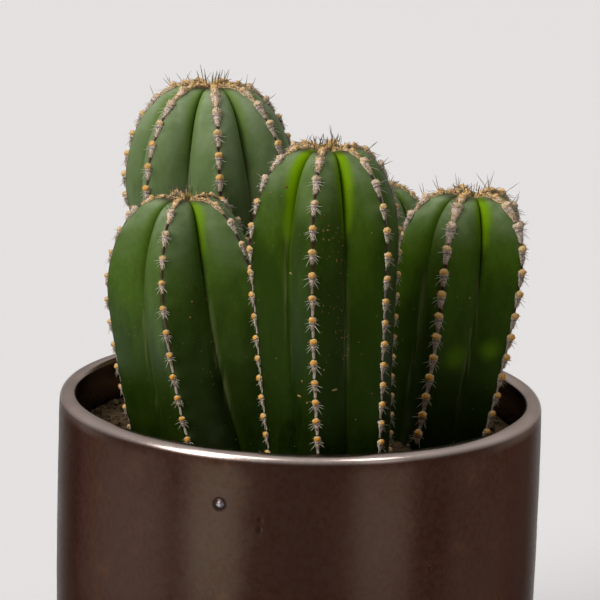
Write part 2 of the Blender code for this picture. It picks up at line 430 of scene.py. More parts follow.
class Effects:
    """The node groups that several finishes share, each built once."""

    def __init__(self) -> None:
        """Build every group."""
        self.mottle = self._mottle()
        self.speckle = self._speckle()
        self.relief = self._relief()
        self.settled = self._settled()

    @staticmethod
    def _open(name: str, output: str, **inputs: float) -> tuple[Wiring, dict[str, Socket], Socket]:
        """Start a group.

        Args:
            name: The group's name.
            output: The name of its result.
            inputs: Its inputs with their usual values.

        Returns:
            The wiring, the sockets that carry the inputs by name, and the socket that takes the result.
        """
        tree = bpy.data.node_groups.new(name, "ShaderNodeTree")
        for label, usual in inputs.items():
            given = tree.interface.new_socket(label, in_out="INPUT", socket_type="NodeSocketFloat")
            given.default_value = usual
        tree.interface.new_socket(output, in_out="OUTPUT", socket_type="NodeSocketFloat")
        source = tree.nodes.new("NodeGroupInput")
        result = tree.nodes.new("NodeGroupOutput").inputs[output]
        return Wiring(tree), {label: source.outputs[label] for label in inputs}, result

    @staticmethod
    def _places(wiring: Wiring, size: Source, stretch: Source) -> Socket:
        """Return object coordinates counted in sizes, drawn out along Z by stretch."""
        per_metre = wiring.maths("DIVIDE", 1.0 / MM, size)
        upright = wiring.maths("DIVIDE", per_metre, stretch)
        scale = wiring.add("CombineXYZ", {0: per_metre, 1: per_metre, 2: upright}).outputs[0]
        own = wiring.add("TexCoord").outputs["Object"]
        return wiring.add("VectorMath", {0: own, 1: scale}, operation="MULTIPLY").outputs[0]

    def _mottle(self) -> bpy.types.NodeTree:
        """Make soft patches: Mask runs from 0 to 1 between Low and High of the noise."""
        wiring, given, out = self._open("Mottle", "Mask", Size=5.0, Stretch=1.0, Low=0.35, High=0.65)
        places = self._places(wiring, given["Size"], given["Stretch"])
        patches = wiring.add("TexNoise", {"Vector": places, "Scale": 1.0, "Detail": 5.0, "Roughness": 0.55})
        wiring.feed(out, wiring.span(patches.outputs[0], given["Low"], given["High"]))
        return wiring.tree

    def _speckle(self) -> bpy.types.NodeTree:
        """Make scattered round spots: Cover is the share of cells that hold one."""
        wiring, given, out = self._open("Speckle", "Mask", Size=2.0, Cover=0.3, Radius=0.3)
        cells = wiring.add("TexVoronoi", {"Vector": self._places(wiring, given["Size"], 1.0), "Scale": 1.0})
        own = wiring.add("SeparateColor", {0: cells.outputs["Color"]})
        chosen = wiring.maths("LESS_THAN", own.outputs[0], given["Cover"])
        radius = wiring.times(given["Radius"], wiring.plus(own.outputs[1], 0.35))
        edge = wiring.times(radius, 0.55)
        spot = wiring.span(cells.outputs["Distance"], radius, edge)
        wiring.feed(out, wiring.times(spot, chosen))
        return wiring.tree

    def _relief(self) -> bpy.types.NodeTree:
        """Make a height for a Bump node from a coarse and a fine unevenness."""
        wiring, given, out = self._open("Relief", "Height", Size=2.0, Stretch=1.0, Fine=0.3)
        places = self._places(wiring, given["Size"], given["Stretch"])
        coarse = wiring.add("TexNoise", {"Vector": places, "Scale": 1.0, "Detail": 3.0}).outputs[0]
        fine = wiring.add("TexNoise", {"Vector": places, "Scale": 7.0, "Detail": 2.0}).outputs[0]
        height = wiring.plus(coarse, wiring.times(fine, given["Fine"]))
        wiring.feed(out, height)
        return wiring.tree

    def _settled(self) -> bpy.types.NodeTree:
        """Mark faces that look up by more than Tilt, in patches: dust on the glaze and the soil, and bloom
        with a painted sheen of light from above on the skin.
        """
        wiring, given, out = self._open("Settled", "Mask", Amount=1.0, Tilt=0.2, Size=4.0)
        facing = wiring.add("SeparateXYZ", {0: wiring.add("NewGeometry").outputs["Normal"]}).outputs[2]
        full = wiring.plus(given["Tilt"], 0.75)
        lying = wiring.span(facing, given["Tilt"], full)
        patches = wiring.effect(self.mottle, Size=given["Size"], Low=0.3, High=0.7)
        uneven = wiring.plus(wiring.times(patches, 0.6), 0.4)
        amount = wiring.maths("MULTIPLY", wiring.times(lying, uneven), given["Amount"], clamp=True)
        wiring.feed(out, amount)
        return wiring.tree


class Finish:
    """What every finish shares: a new material with its shader."""

    @staticmethod
    def start(name: str, **sockets: float) -> tuple[Material, Wiring, bpy.types.Node]:
        """Make a material.

        Args:
            name: The material's name.
            sockets: Plain values for the shader's own sockets, with _ for each space.

        Returns:
            The material, its wiring and its Principled shader.
        """
        material = bpy.data.materials.new(name)
        material.use_nodes = True
        shader = material.node_tree.nodes["Principled BSDF"]
        for socket, value in sockets.items():
            shader.inputs[socket.replace("_", " ")].default_value = value
        return material, Wiring(material.node_tree), shader

    @staticmethod
    def bump(wiring: Wiring, shader: bpy.types.Node, height: Socket,
             strength: float, depth: float) -> None:
        """Feed a height, whose full range is depth millimetres, to the shader's normal."""
        node = wiring.add("Bump", {"Height": height, "Strength": strength, "Distance": depth * MM})
        wiring.feed(shader.inputs["Normal"], node.outputs[0])


@dataclass(frozen=True)
class SkinFinish(Finish):
    """Waxy green skin: dark and bare at the base, partly older skin and partly painted shade; bloomed on
    the shoulders, with a painted sheen of light from above; painted shade along the valley creases; vivid
    in the young grooves.
    """

    # the ramp from base to upper darkens the skin towards the base: partly older skin, partly painted shade
    # from the pot's rim and the stems around it
    base: Colour = (0.0028, 0.0075, 0.0003)
    middle: Colour = (0.020, 0.040, 0.002)
    upper: Colour = (0.060, 0.118, 0.006)
    # pale waxy bloom, also used as a painted sheen of light from above
    bloom: Colour = (0.255, 0.320, 0.180)
    vivid: Colour = (0.165, 0.310, 0.0005)
    # painted shade along the valley creases
    valley: Colour = (0.006, 0.016, 0.001)
    streak: Colour = (0.140, 0.155, 0.060)
    blush: Colour = (0.030, 0.006, 0.008)
    sheen: Colour = (0.75, 1.0, 0.25)

    def make(self, effects: Effects) -> Material:
        """Build the material.

        Args:
            effects: The shared effects.

        Returns:
            The material.
        """
        material, wiring, shader = self.start("cactus_skin", Specular_IOR_Level=0.08)
        shader.inputs["Specular Tint"].default_value = (*self.sheen, 1.0)
        rise, across = wiring.value("rise"), wiring.value("across")
        patches = wiring.effect(effects.mottle, Size=7.0, Stretch=2.6, Low=0.3, High=0.7)
        shifted = wiring.plus(rise, wiring.times(wiring.plus(patches, -0.5), 0.24))
        green = wiring.ramp(shifted, ((0.0, self.base), (0.48, self.middle), (0.82, self.upper)))
        fine = wiring.effect(effects.mottle, Size=1.1, Stretch=1.6, Low=0.25, High=0.75)
        # a pale layer on faces that look up: partly the skin's waxy bloom, partly a painted sheen of light
        # from above
        bloom_and_sheen = wiring.effect(effects.settled, Amount=0.8, Tilt=0.02, Size=6.0)
        lying = wiring.times(bloom_and_sheen, wiring.span(across, 1.0, 0.55))
        # pale bloom over the upper stem, partly a painted sheen of soft light; it takes the bloom colour
        frost_and_sheen_mask = wiring.times(wiring.value("frost"), wiring.span(patches, 0.0, 1.0, 0.6, 1.0))
        lines = wiring.effect(effects.mottle, Size=1.6, Stretch=14.0, Low=0.42, High=0.62)
        dots = wiring.effect(effects.speckle, Size=1.7, Cover=0.16, Radius=0.17)
        marks = wiring.times(wiring.value("blush"), wiring.span(patches, 0.0, 0.5, 0.55, 1.0))
        green = wiring.layered(
            green,
            (wiring.times(fine, 0.30), self.middle),
            (wiring.maths("ADD", lying, frost_and_sheen_mask, clamp=True), self.bloom),
            (wiring.value("vivid"), self.vivid),
            # a pale streak beside the valley's line: partly scar tissue, partly a painted sheen
            (wiring.times(lines, wiring.value("seam"), 0.75), self.streak),
            # painted shade along each valley's line
            (wiring.value("crease"), self.valley),
            (wiring.times(dots, 0.45), self.streak),
            (marks, self.blush),
        )
        wiring.feed(shader.inputs["Base Color"], green)
        rough = wiring.plus(wiring.times(bloom_and_sheen, 0.16), wiring.times(fine, 0.08), 0.40)
        wiring.feed(shader.inputs["Roughness"], rough)
        height = wiring.effect(effects.relief, Size=2.2, Stretch=1.5, Fine=0.25)
        self.bump(wiring, shader, height, 0.35, 0.12)
        return material


@dataclass(frozen=True)
class WoolFinish(Finish):
    """Felt and wool of the areoles, from a maroon scar through grey-pink felt to cream and orange wool."""

    scar: Colour = (0.045, 0.010, 0.012)
    felt: Colour = (0.830, 0.680, 0.590)
    cream: Colour = (0.880, 0.590, 0.265)
    orange: Colour = (0.870, 0.380, 0.022)
    dark: Colour = (0.075, 0.030, 0.020)

    def make(self, effects: Effects) -> Material:
        """Build the material.

        Args:
            effects: The shared effects.

        Returns:
            The material.
        """
        material, wiring, shader = self.start("areole_wool", Specular_IOR_Level=0.15, Sheen_Weight=0.10,
                                              Sheen_Roughness=0.5)
        stops = ((0.0, self.scar), (0.10, self.scar), (0.30, self.felt), (0.62, self.cream),
                 (1.0, self.orange))
        wool = wiring.ramp(wiring.value("tone"), stops)
        clumps = wiring.effect(effects.mottle, Size=0.36, Low=0.50, High=0.64)
        wool = wiring.blend(wiring.times(clumps, wiring.value("fleck")), wool, self.dark)
        wiring.feed(shader.inputs["Base Color"], wool)
        wiring.feed(shader.inputs["Roughness"], wiring.span(clumps, 0.0, 1.0, 0.8, 0.97))
        height = wiring.effect(effects.relief, Size=0.28, Fine=0.5)
        self.bump(wiring, shader, height, 0.8, 0.12)
        return material


@dataclass(frozen=True)
class SpineFinish(Finish):
    """Fine spines: slate with yellow feet at the tip, pale further down, brown on the old wood."""

    young_foot: Colour = (0.640, 0.430, 0.150)
    young_tip: Colour = (0.030, 0.032, 0.045)
    pale_foot: Colour = (0.520, 0.520, 0.400)
    pale_tip: Colour = (0.300, 0.240, 0.170)
    old_foot: Colour = (0.240, 0.150, 0.060)
    old_tip: Colour = (0.140, 0.040, 0.014)

    def make(self, effects: Effects) -> Material:
        """Build the material.

        Args:
            effects: The shared effects.

        Returns:
            The material.
        """
        material, wiring, shader = self.start("spines", Specular_IOR_Level=0.4)
        along, age = wiring.value("along"), wiring.value("age")
        young = wiring.ramp(along, ((0.0, self.young_foot), (0.3, self.young_foot), (0.55, self.young_tip)))
        pale = wiring.ramp(along, ((0.0, self.pale_foot), (0.7, self.pale_foot), (1.0, self.pale_tip)))
        old = wiring.ramp(along, ((0.0, self.old_foot), (0.5, self.old_foot), (1.0, self.old_tip)))
        colour = wiring.blend(wiring.span(age, 0.1, 0.3), young, pale)
        colour = wiring.blend(wiring.span(age, 0.5, 0.95), colour, old)
        grain = wiring.effect(effects.mottle, Size=0.3, Stretch=2.0, Low=0.3, High=0.7)
        colour = wiring.blend(wiring.times(grain, 0.35), colour, self.old_foot)
        wiring.feed(shader.inputs["Base Color"], colour)
        wiring.feed(shader.inputs["Roughness"], wiring.span(grain, 0.0, 1.0, 0.38, 0.6))
        return material


@dataclass(frozen=True)
class CorkFinish(Finish):
    """Dry corky specks and scars on the skin."""

    pale: Colour = (0.420, 0.290, 0.105)
    rusty: Colour = (0.130, 0.048, 0.010)

    def make(self, effects: Effects) -> Material:
        """Build the material.

        Args:
            effects: The shared effects.

        Returns:
            The material.
        """
        material, wiring, shader = self.start("dry_cork", Specular_IOR_Level=0.2)
        patches = wiring.effect(effects.mottle, Size=0.5, Low=0.35, High=0.65)
        colour = wiring.ramp(wiring.value("tone"), ((0.0, self.rusty), (1.0, self.pale)))
        mottled = wiring.blend(wiring.times(patches, 0.45), colour, self.rusty)
        wiring.feed(shader.inputs["Base Color"], mottled)
        wiring.feed(shader.inputs["Roughness"], wiring.span(patches, 0.0, 1.0, 0.75, 0.92))
        self.bump(wiring, shader, wiring.effect(effects.relief, Size=0.3, Fine=0.4), 0.6, 0.06)
        return material


@dataclass(frozen=True)
class GlazeFinish(Finish):
    """Dark bronze glaze with a satin metallic sheen, pale over the lip: partly glaze thinned where it broke
    over the lip, partly a painted reflection of the bright surroundings.
    """

    body: Colour = (0.036, 0.014, 0.009)
    brown: Colour = (0.030, 0.0095, 0.005)
    ash: Colour = (0.060, 0.040, 0.030)
    rust: Colour = (0.075, 0.027, 0.012)
    # the pale lip: partly thinned glaze, partly a painted reflection of the bright surroundings; also the
    # colour of dust
    lip: Colour = (0.640, 0.520, 0.470)
    # the pale dome of a glaze flaw: partly paler glaze, partly a painted highlight
    bead: Colour = (0.165, 0.125, 0.130)
    pinhole: Colour = (0.012, 0.006, 0.005)
    glint: Colour = (0.45, 0.42, 0.40)

    def make(self, effects: Effects) -> Material:
        """Build the material.

        Args:
            effects: The shared effects.

        Returns:
            The material.
        """
        material, wiring, shader = self.start("bronze_glaze", Specular_IOR_Level=0.5, Coat_Weight=0.06,
                                              Coat_Roughness=0.2)
        shader.inputs["Specular Tint"].default_value = (*self.glint, 1.0)
        clouds = wiring.effect(effects.mottle, Size=34.0, Stretch=1.8, Low=0.35, High=0.65)
        fine = wiring.effect(effects.mottle, Size=1.4, Stretch=1.2, Low=0.3, High=0.7)
        bloom = wiring.effect(effects.mottle, Size=7.0, Stretch=1.3, Low=0.55, High=0.8)
        dots = wiring.effect(effects.speckle, Size=0.9, Cover=0.3, Radius=0.2)
        dust = wiring.effect(effects.settled, Amount=0.12, Tilt=0.3, Size=3.0)
        colour = wiring.layered(
            self.brown,
            (clouds, self.body),
            (wiring.times(fine, 0.16), self.ash),
            (wiring.times(bloom, 0.35), self.rust),
            (wiring.times(dots, 0.22), self.pinhole),
            (wiring.value("thin"), self.lip),
            (wiring.value("bead"), self.bead),
            (wiring.value("flaw"), self.pinhole),
            (dust, self.lip),
        )
        wiring.feed(shader.inputs["Base Color"], colour)
        wiring.feed(shader.inputs["Metallic"], wiring.span(dust, 0.0, 1.0, 1.0, 0.6))
        satin = wiring.plus(wiring.times(clouds, 0.05), wiring.times(fine, 0.05))
        glossy = wiring.times(wiring.value("thin"), -0.12)
        rough = wiring.plus(satin, 0.24, glossy)
        wiring.feed(shader.inputs["Roughness"], rough)
        height = wiring.effect(effects.relief, Size=2.6, Stretch=0.9, Fine=0.35)
        self.bump(wiring, shader, height, 0.18, 0.08)
        return material


@dataclass(frozen=True)
class SoilFinish(Finish):
    """Crumbly brown potting soil, paler where it has dried."""

    wet: Colour = (0.030, 0.018, 0.011)
    dry: Colour = (0.140, 0.088, 0.042)
    straw: Colour = (0.330, 0.240, 0.140)

    def make(self, effects: Effects) -> Material:
        """Build the material.

        Args:
            effects: The shared effects.

        Returns:
            The material.
        """
        material, wiring, shader = self.start("potting_soil", Specular_IOR_Level=0.15)
        lumps = wiring.effect(effects.mottle, Size=2.4, Low=0.35, High=0.65)
        dust = wiring.effect(effects.settled, Amount=0.5, Tilt=0.3, Size=7.0)
        grit = wiring.effect(effects.speckle, Size=1.0, Cover=0.3, Radius=0.3)
        colour = wiring.layered(self.wet, (lumps, self.dry), (wiring.value("tone"), self.straw),
                                (dust, self.dry), (wiring.times(grit, 0.5), self.wet))
        wiring.feed(shader.inputs["Base Color"], colour)
        wiring.feed(shader.inputs["Roughness"], wiring.span(lumps, 0.0, 1.0, 0.85, 0.98))
        self.bump(wiring, shader, wiring.effect(effects.relief, Size=0.9, Fine=0.5), 0.9, 0.4)
        return material


# ---------------------------------------------------------------- pot and soil

@dataclass(frozen=True)
class Flaw:
    """A small mark that firing left in the glaze: a bead, or a pinhole if its rise is negative."""

    bearing: float
    height: float
    radius: float
    rise: float

    def push(self, bearing: float, height: float, wall: float) -> tuple[float, float, float]:
        """Work out what the mark does to a point of the wall.

        Args:
            bearing: The point's bearing.
            height: The point's height.
            wall: The wall's radius there.

        Returns:
            How far the point moves out, then how dark and how pale the glaze is there, from 0 to 1; the
            pale dome is partly a painted highlight.
        """
        sideways = math.radians(bearing - self.bearing) * wall
        away = math.hypot(sideways, height - self.height) / self.radius
        if away > 3.0:
            return 0.0, 0.0, 0.0
        dome = math.exp(-away ** 4)
        if self.rise < 0.0:
            return self.rise * dome, 0.6 * dome, 0.0
        ring = math.exp(-((away - 1.42) / 0.36) ** 2)
        return self.rise * dome - 0.25 * self.rise * ring, 0.8 * ring, dome


@dataclass
class Pot:
    """The glazed pot: a nearly straight wall, a rounded foot and a rounded lip."""

    lip_outer: float = 2.6
    lip_inner: float = 1.9
    wall: float = 4.6
    belly: float = 0.45
    belly_height: float = 76.0
    foot_radius: float = 65.6
    foot_round: float = 5.0
    floor: float = 6.0
    floor_round: float = 9.0
    sides: int = 240
    throwing: float = 0.10
    flaws: tuple[Flaw, ...] = (
        Flaw(-17.3, 106.0, 1.05, 0.52),
        Flaw(-8.2, 102.8, 0.75, -0.07),
        Flaw(-8.4, 100.3, 0.85, -0.07),
        Flaw(31.0, 88.0, 0.45, -0.20),
        Flaw(102.0, 97.0, 0.50, -0.25),
        Flaw(171.0, 64.0, 0.55, -0.25),
        Flaw(-96.0, 52.0, 0.45, -0.22),
    )
    top: float = field(init=False)
    radius: float = field(init=False)

    def __post_init__(self) -> None:
        """Read the pot's height and lip from the frame."""
        low, high = node_box("pot")
        self.top = high.z
        self.radius = (high.x - low.x) / 2 - self.belly

    @property
    def inside(self) -> float:
        """The radius of the straight inner wall."""
        return self.radius - self.wall

    def outer(self, height: float) -> float:
        """Return the outside radius at a height."""
        if height >= self.belly_height:
            share = (height - self.belly_height) / (self.top - self.belly_height)
            return self.radius + self.belly * (1.0 - share * share)
        share = (self.belly_height - height) / (self.belly_height - self.foot_round)
        return self.radius + self.belly - (self.radius + self.belly - self.foot_radius) * share * share

    def levels(self) -> list[float]:
        """Return the heights of the outer wall's rings, closer together at the flaws."""
        low, high = self.foot_round, self.top - self.lip_outer
        found = {round(between(low, high, k / 56), 3) for k in range(57)}
        for flaw in self.flaws:
            found |= {round(flaw.height + flaw.radius * k / 7, 3) for k in range(-14, 15)}
        return sorted(height for height in found if low <= height <= high)

    def bearings(self) -> list[float]:
        """Return the bearings of the wall's points, closer together at the flaws."""
        found = {round(360.0 * k / self.sides - 180.0, 3) for k in range(self.sides)}
        for flaw in self.flaws:
            step = math.degrees(flaw.radius / self.radius) / 7
            found |= {round(flaw.bearing + step * k, 3) for k in range(-14, 15)}
        return sorted(found)

    def outline(self) -> list[tuple[float, float]]:
        """Return the section's (radius, height) points, from the foot up and down the inside."""
        def arc(radius: float, height: float, size: float, start: float, stop: float,
                steps: int) -> list[tuple[float, float]]:
            """Return the points of an arc about (radius, height) from one angle to another."""
            angles = [math.radians(between(start, stop, k / steps)) for k in range(steps + 1)]
            return [(radius + size * math.cos(a), height + size * math.sin(a)) for a in angles]

        points = arc(self.foot_radius - self.foot_round, self.foot_round, self.foot_round, -90, 0, 9)[:-1]
        points = [(r, 0.0) for r in (20.0, 45.0)] + points
        points += [(self.outer(height), height) for height in self.levels()]
        outer, inner, hollow = self.lip_outer, self.lip_inner, self.floor_round
        points += arc(self.radius - outer, self.top - outer, outer, 0, 90, 12)[1:]
        points += arc(self.inside + inner, self.top - inner, inner, 90, 180, 10)
        points += [(self.inside, between(self.top - inner, self.floor + hollow, k / 12))
                   for k in range(1, 12)]
        points += arc(self.inside - hollow, self.floor + hollow, hollow, 0, -90, 6)
        return points + [(r, self.floor) for r in (40.0, 15.0)]

    def thinness_and_glare(self, drop: float, bearing: float, outside: bool) -> float:
        """Say how pale the glaze is painted near the lip: partly glaze thinned over the lip, partly a
        painted reflection of the bright surroundings.

        Args:
            drop: How far below the pot's top the point lies.
            bearing: The point's bearing.
            outside: Whether the point is on the outer half of the section.

        Returns:
            A number from 0 for full glaze to 1 for the pale lip.
        """
        # the lip is painted paler on the pot's sides: a painted reflection of the bright wall behind
        side = eased(abs(math.sin(math.radians(bearing))), 0.55, 0.95)
        if outside:
            fade = 1.0 - eased(drop, 0.7 + 0.3 * side, 2.2 + 0.5 * side)
            return between(0.5 + 0.4 * side, 0.9, eased(drop, 0.0, 0.8)) * fade
        lip = 0.86 * (1.0 - eased(drop, 0.6, 3.0))
        # a paler upper band on the inner wall: a painted reflection and blur of the lip
        wall = 0.34 * eased(drop, 1.5, 4.0) * (1.0 - eased(drop, 6.0, 24.0))
        return lip + wall

    def build(self, finish: Material) -> Object:
        """Build the pot.

        Args:
            finish: The glaze.

        Returns:
            The pot.
        """
        piece = Piece("glazed_pot", "flaw", "bead", "thin")
        rings: list[list[Vector]] = []
        marks: dict[str, list[float]] = {name: [] for name in piece.values}
        bearings = self.bearings()
        for radius, height in self.outline():
            ring = []
            outside = radius > self.inside + self.lip_inner
            for bearing in bearings:
                thin = self.thinness_and_glare(self.top - height, bearing, outside)
                way = heading(bearing)
                place = way * radius + Vector((0, 0, height * 2.2))
                reach = radius + self.throwing * eased(height, 0.0, 12.0) * wander(place, 24.0, 3.0)
                dark = pale = 0.0
                if outside and self.foot_round < height < self.top - self.lip_outer:
                    for flaw in self.flaws:
                        out, deep, bead = flaw.push(bearing, height, radius)
                        reach += out
                        dark, pale = max(dark, deep), max(pale, bead)
                ring.append(way * reach + Vector((0, 0, height)))
                marks["flaw"].append(dark)
                marks["bead"].append(pale)
                marks["thin"].append(thin * (0.85 + 0.15 * wander(place, 9.0, 5.0)))
            rings.append(ring)
        shape = loft(rings, Vector((0, 0, 0)), Vector((0, 0, self.floor)))
        piece.add(shape, **{name: held + [0.0, 0.0] for name, held in marks.items()})
        return piece.build(finish, Slot.GLAZE, "pot")


@dataclass
class Soil:
    """The potting soil: an uneven bed with crumbs and bits of straw on it."""

    bed_thick: float = 14.0
    unevenness: float = 0.8
    crumbs: int = 1500
    straws: int = 46
    rings: int = 52
    sides: int = 150
    clearance: float = 0.5

    def height(self, x: float, y: float, level: float) -> float:
        """Return the bed's height at a place."""
        waves = math.sin(0.11 * x + 0.6) * math.cos(0.13 * y - 0.4) + 0.5 * math.sin(0.23 * x - 0.17 * y)
        small = wander(Vector((x, y, 0.0)), 3.1, 5.0) * 0.7 + wander(Vector((x, y, 0.0)), 1.3, 8.0) * 0.35
        return level + self.unevenness * waves / 1.5 + small

    def build(self, pot: Pot, level: float, finish: Material) -> list[Object]:
        """Build the bed and what lies on it.

        Args:
            pot: The pot that holds it.
            level: The bed's mean height.
            finish: The soil's material.

        Returns:
            The bed and the crumbs.
        """
        edge = pot.inside - self.clearance
        bed = Piece("soil_bed", "tone")
        rings = [[heading(360.0 * k / self.sides) * edge + Vector((0, 0, level - self.bed_thick))
                  for k in range(self.sides)]]
        for step in range(self.rings):
            reach = edge * (1.0 - step / self.rings)
            ring = [heading(360.0 * k / self.sides) * reach for k in range(self.sides)]
            rings.append([Vector((p.x, p.y, self.height(p.x, p.y, level))) for p in ring])
        middle = Vector((0, 0, self.height(0.0, 0.0, level)))
        bed.add(loft(rings, Vector((0, 0, level - self.bed_thick)), middle), tone=0.0)
        return [bed.build(finish, Slot.SOIL, "soil"), self.scatter(edge, level, finish)]

    def scatter(self, edge: float, level: float, finish: Material) -> Object:
        """Strew crumbs and straws over the bed.

        Args:
            edge: The bed's radius.
            level: The bed's mean height.
            finish: The soil's material.

        Returns:
            The strewn piece.
        """
        draw = random.Random(41)
        crumbs = Piece("soil_crumbs", "tone")
        for k in range(self.crumbs):
            way = heading(draw.uniform(0.0, 360.0)) * edge * 0.985 * math.sqrt(draw.random())
            size = 0.35 + 1.1 * draw.random() ** 3
            spot = Spot(Vector((way.x, way.y, self.height(way.x, way.y, level) + 0.2 * size)),
                        *Euler([draw.uniform(0.0, math.tau) for _ in range(3)]).to_matrix().col)
            half = (size, size * draw.uniform(0.6, 0.9), size * draw.uniform(0.5, 0.8))
            pale = draw.random() ** 5 * 0.9
            crumbs.add(lump(spot, half, 0.55, float(k), 3, 6), tone=pale)
        for _ in range(self.straws):
            way = heading(draw.uniform(0.0, 360.0)) * (edge - 5.0) * math.sqrt(draw.random())
            turn = heading(draw.uniform(0.0, 360.0))
            root = Vector((way.x, way.y, self.height(way.x, way.y, level) + 0.5))
            points, faces, _ = needle(root, turn, Vector((0, 0, draw.uniform(-0.3, 0.6))),
                                      draw.uniform(2.5, 6.5), draw.uniform(0.15, 0.4))
            crumbs.add((points, faces), tone=draw.uniform(0.3, 0.9))
        return crumbs.build(finish, Slot.SOIL)


# ---------------------------------------------------------------- stems

@dataclass
class Stem:
    """One ribbed column, with a row of areoles on each rib and young needles on its tip."""

    name: str
    ribs: int
    turn: float             # bearing of its first rib
    radius: float           # axis to rib crest at the widest place
    dome: float             # height of the rounded top
    fullness: float         # power of the dome's outline
    valley: float           # valley radius as a share of the crest's
    taper: float            # share of the radius lost at soil level
    seed: int
    pitch: float            # between areoles in the upper half
    woolly: float           # size of its areoles, as a share of the usual
    # added to the rise, so the whole stem's skin is painted lighter and greener, or darker where it is
    # negative
    tone_lift: float            # how much greener it is than its height alone makes it
    # pale bloom painted over the upper stem, partly the skin's own bloom, partly a painted sheen of soft
    # light on it
    frost: float            # how much pale bloom lies all over it
    specks: int             # corky specks on its skin
    shifts: tuple[float, ...]   # how far each rib's areoles slide down its crest
    flush: float                # how far down the young grooves are vivid green
    flanks: tuple[float, ...]   # how vivid: rib 0's second flank, rib 1's first, and so on round
    scars: tuple[tuple[float, float], ...] = ()     # (rib position, run)
    blotches: tuple[tuple[float, float, float], ...] = ()   # (rib position, depth, radius) of vivid patches
    buried: float = 26.0
    root_round: float = 9.0
    dimple: float = 2.2
    dimple_spread: float = 0.25
    tuft_above: float = 3.2     # how far the needles' point stands over the nominal top
    dome_rings: int = 64
    shaft_step: float = 0.95
    swelling: float = 0.32      # how far the crest rises at an areole
    filling: float = 0.06       # how much shallower the valleys are low down
    crest_round: float = 0.055  # how blunt the crest is, as a share of the way to the valley
    crease_width: float = 0.075     # how wide the valley's crease is, likewise
    ridge_width: float = 0.10   # how wide the swelling at an areole is, likewise
    needles: int = 11
    foot: Vector = field(init=False)
    lean: Vector = field(init=False)
    top: float = field(init=False)
    level: float = field(init=False)
    patches: list[tuple[Vector, float]] = field(init=False)
    rows: list["Row"] = field(init=False)

    ACROSS = (0.0, 0.02, 0.045, 0.08, 0.13, 0.20, 0.30, 0.41, 0.53, 0.65, 0.76, 0.85, 0.91, 0.955, 0.985)

    def __post_init__(self) -> None:
        """Read where the stem stands and ends from the frame."""
        lowest = min(node_points("stem_" + self.name), key=lambda point: point.z)
        highest = max(node_points("tip_spines_" + self.name), key=lambda point: point.z)
        self.level = lowest.z + self.buried
        self.top = highest.z - self.tuft_above
        self.foot = Vector((lowest.x, lowest.y, 0.0))
        self.lean = Vector((highest.x, highest.y, 0.0)) - self.foot
        self.patches = [(self.skin(position, 1.0 + (depth - self.dome) / self.shaft), radius)
                        for position, depth, radius in self.blotches]
        self.rows = [Row(self, rib) for rib in range(self.ribs)]

    @property
    def shaft(self) -> float:
        """The height between the soil and the dome."""
        return self.top - self.dome - self.level

    def height(self, run: float) -> float:
        """Return the height at a run: 0 at the tip, 1 under the dome, 2 at the soil."""
        if run <= 1.0:
            return self.top - self.dome * (1.0 - math.cos(run * math.pi / 2))
        return self.top - self.dome - (run - 1.0) * self.shaft

    def reach(self, run: float) -> float:
        """Return the distance from the axis to the crests at a run."""
        if run <= 1.0:
            return self.radius * max(math.sin(run * math.pi / 2), 0.0) ** (2.0 / self.fullness)
        down = min(run - 1.0, 1.0)
        full = self.radius * (1.0 - self.taper * 1.1 * down * down / (down + 0.1))
        under = self.height(run) - (self.level - self.buried)
        if under < self.root_round:
            full *= math.sqrt(max(1.0 - (1.0 - under / self.root_round) ** 2, 0.0))
        return full

    def outward(self, position: float) -> Vector:
        """Return the level unit vector from the axis to a rib position."""
        return heading(self.turn + 360.0 * position / self.ribs)

    def axis(self, height: float) -> Vector:
        """Return where the axis is at a height: it leans out, then straightens."""
        share = max((height - self.level) / (self.top - self.level), 0.0)
        return self.foot + self.lean * (1.0 - (1.0 - share) ** 2)

    def section(self, across: float, depth: float) -> float:
        """Work out the radius as a share of the crest's.

        Args:
            across: 0 on the crest and 1 in the valley.
            depth: How far below the top the section lies.

        Returns:
            The share: a straight face with a rounded crest, a slight swell and a creased valley.
        """
        half = math.pi / self.ribs
        blunt = self.crest_round
        soft = (math.hypot(across, blunt) - blunt) / (math.hypot(1.0, blunt) - blunt)
        valley = self.valley + self.filling * eased(depth, 12.0, 60.0)
        straight = valley * math.sin(half)
        straight /= math.sin(soft * half) + valley * math.sin(half - soft * half)
        swell = between(0.085, 0.035, eased(depth, 6.0, 40.0))
        crease = between(0.10, 0.010, eased(depth, 8.0, 34.0))
        face = straight * (1.0 + swell * math.sin(math.pi * across))
        return face - crease * math.exp((across - 1.0) / self.crease_width)

    def skin(self, position: float, run: float) -> Vector:
        """Find a point of the skin.

        Args:
            position: Which rib it is on: whole numbers are crests and halves are valleys.
            run: How far down it is, as height() counts.

        Returns:
            The point.
        """
        height = self.height(run)
        across = min(abs(position - round(position)) * 2.0, 1.0)
        reach = self.reach(run) * self.section(across, self.top - height)
        drop = self.dimple * math.exp(-(reach / (self.dimple_spread * self.radius)) ** 2)
        flat = self.axis(height) + self.outward(position) * reach
        point = Vector((flat.x, flat.y, height - drop))
        uneven = 0.22 * wander(point, 11.0, self.seed) + 0.07 * wander(point, 3.4, self.seed + 9)
        share = min(reach / 6.0, 1.0)
        return point + self.outward(position) * uneven * share

    def spot(self, position: float, run: float) -> Spot:
        """Return the place on the skin with its directions: sideways, down the rib and outward."""
        step = 0.012
        point = self.skin(position, run)
        down = (self.skin(position, run + step) - self.skin(position, max(run - step, 0.001))).normalized()
        side = heading(self.turn + 360.0 * position / self.ribs + 90.0)
        if abs(position - round(position)) > 0.04:
            side = (self.skin(position + 0.01, run) - self.skin(position - 0.01, run)).normalized()
        out = down.cross(side).normalized()
        return Spot(point, out.cross(down), down, out)

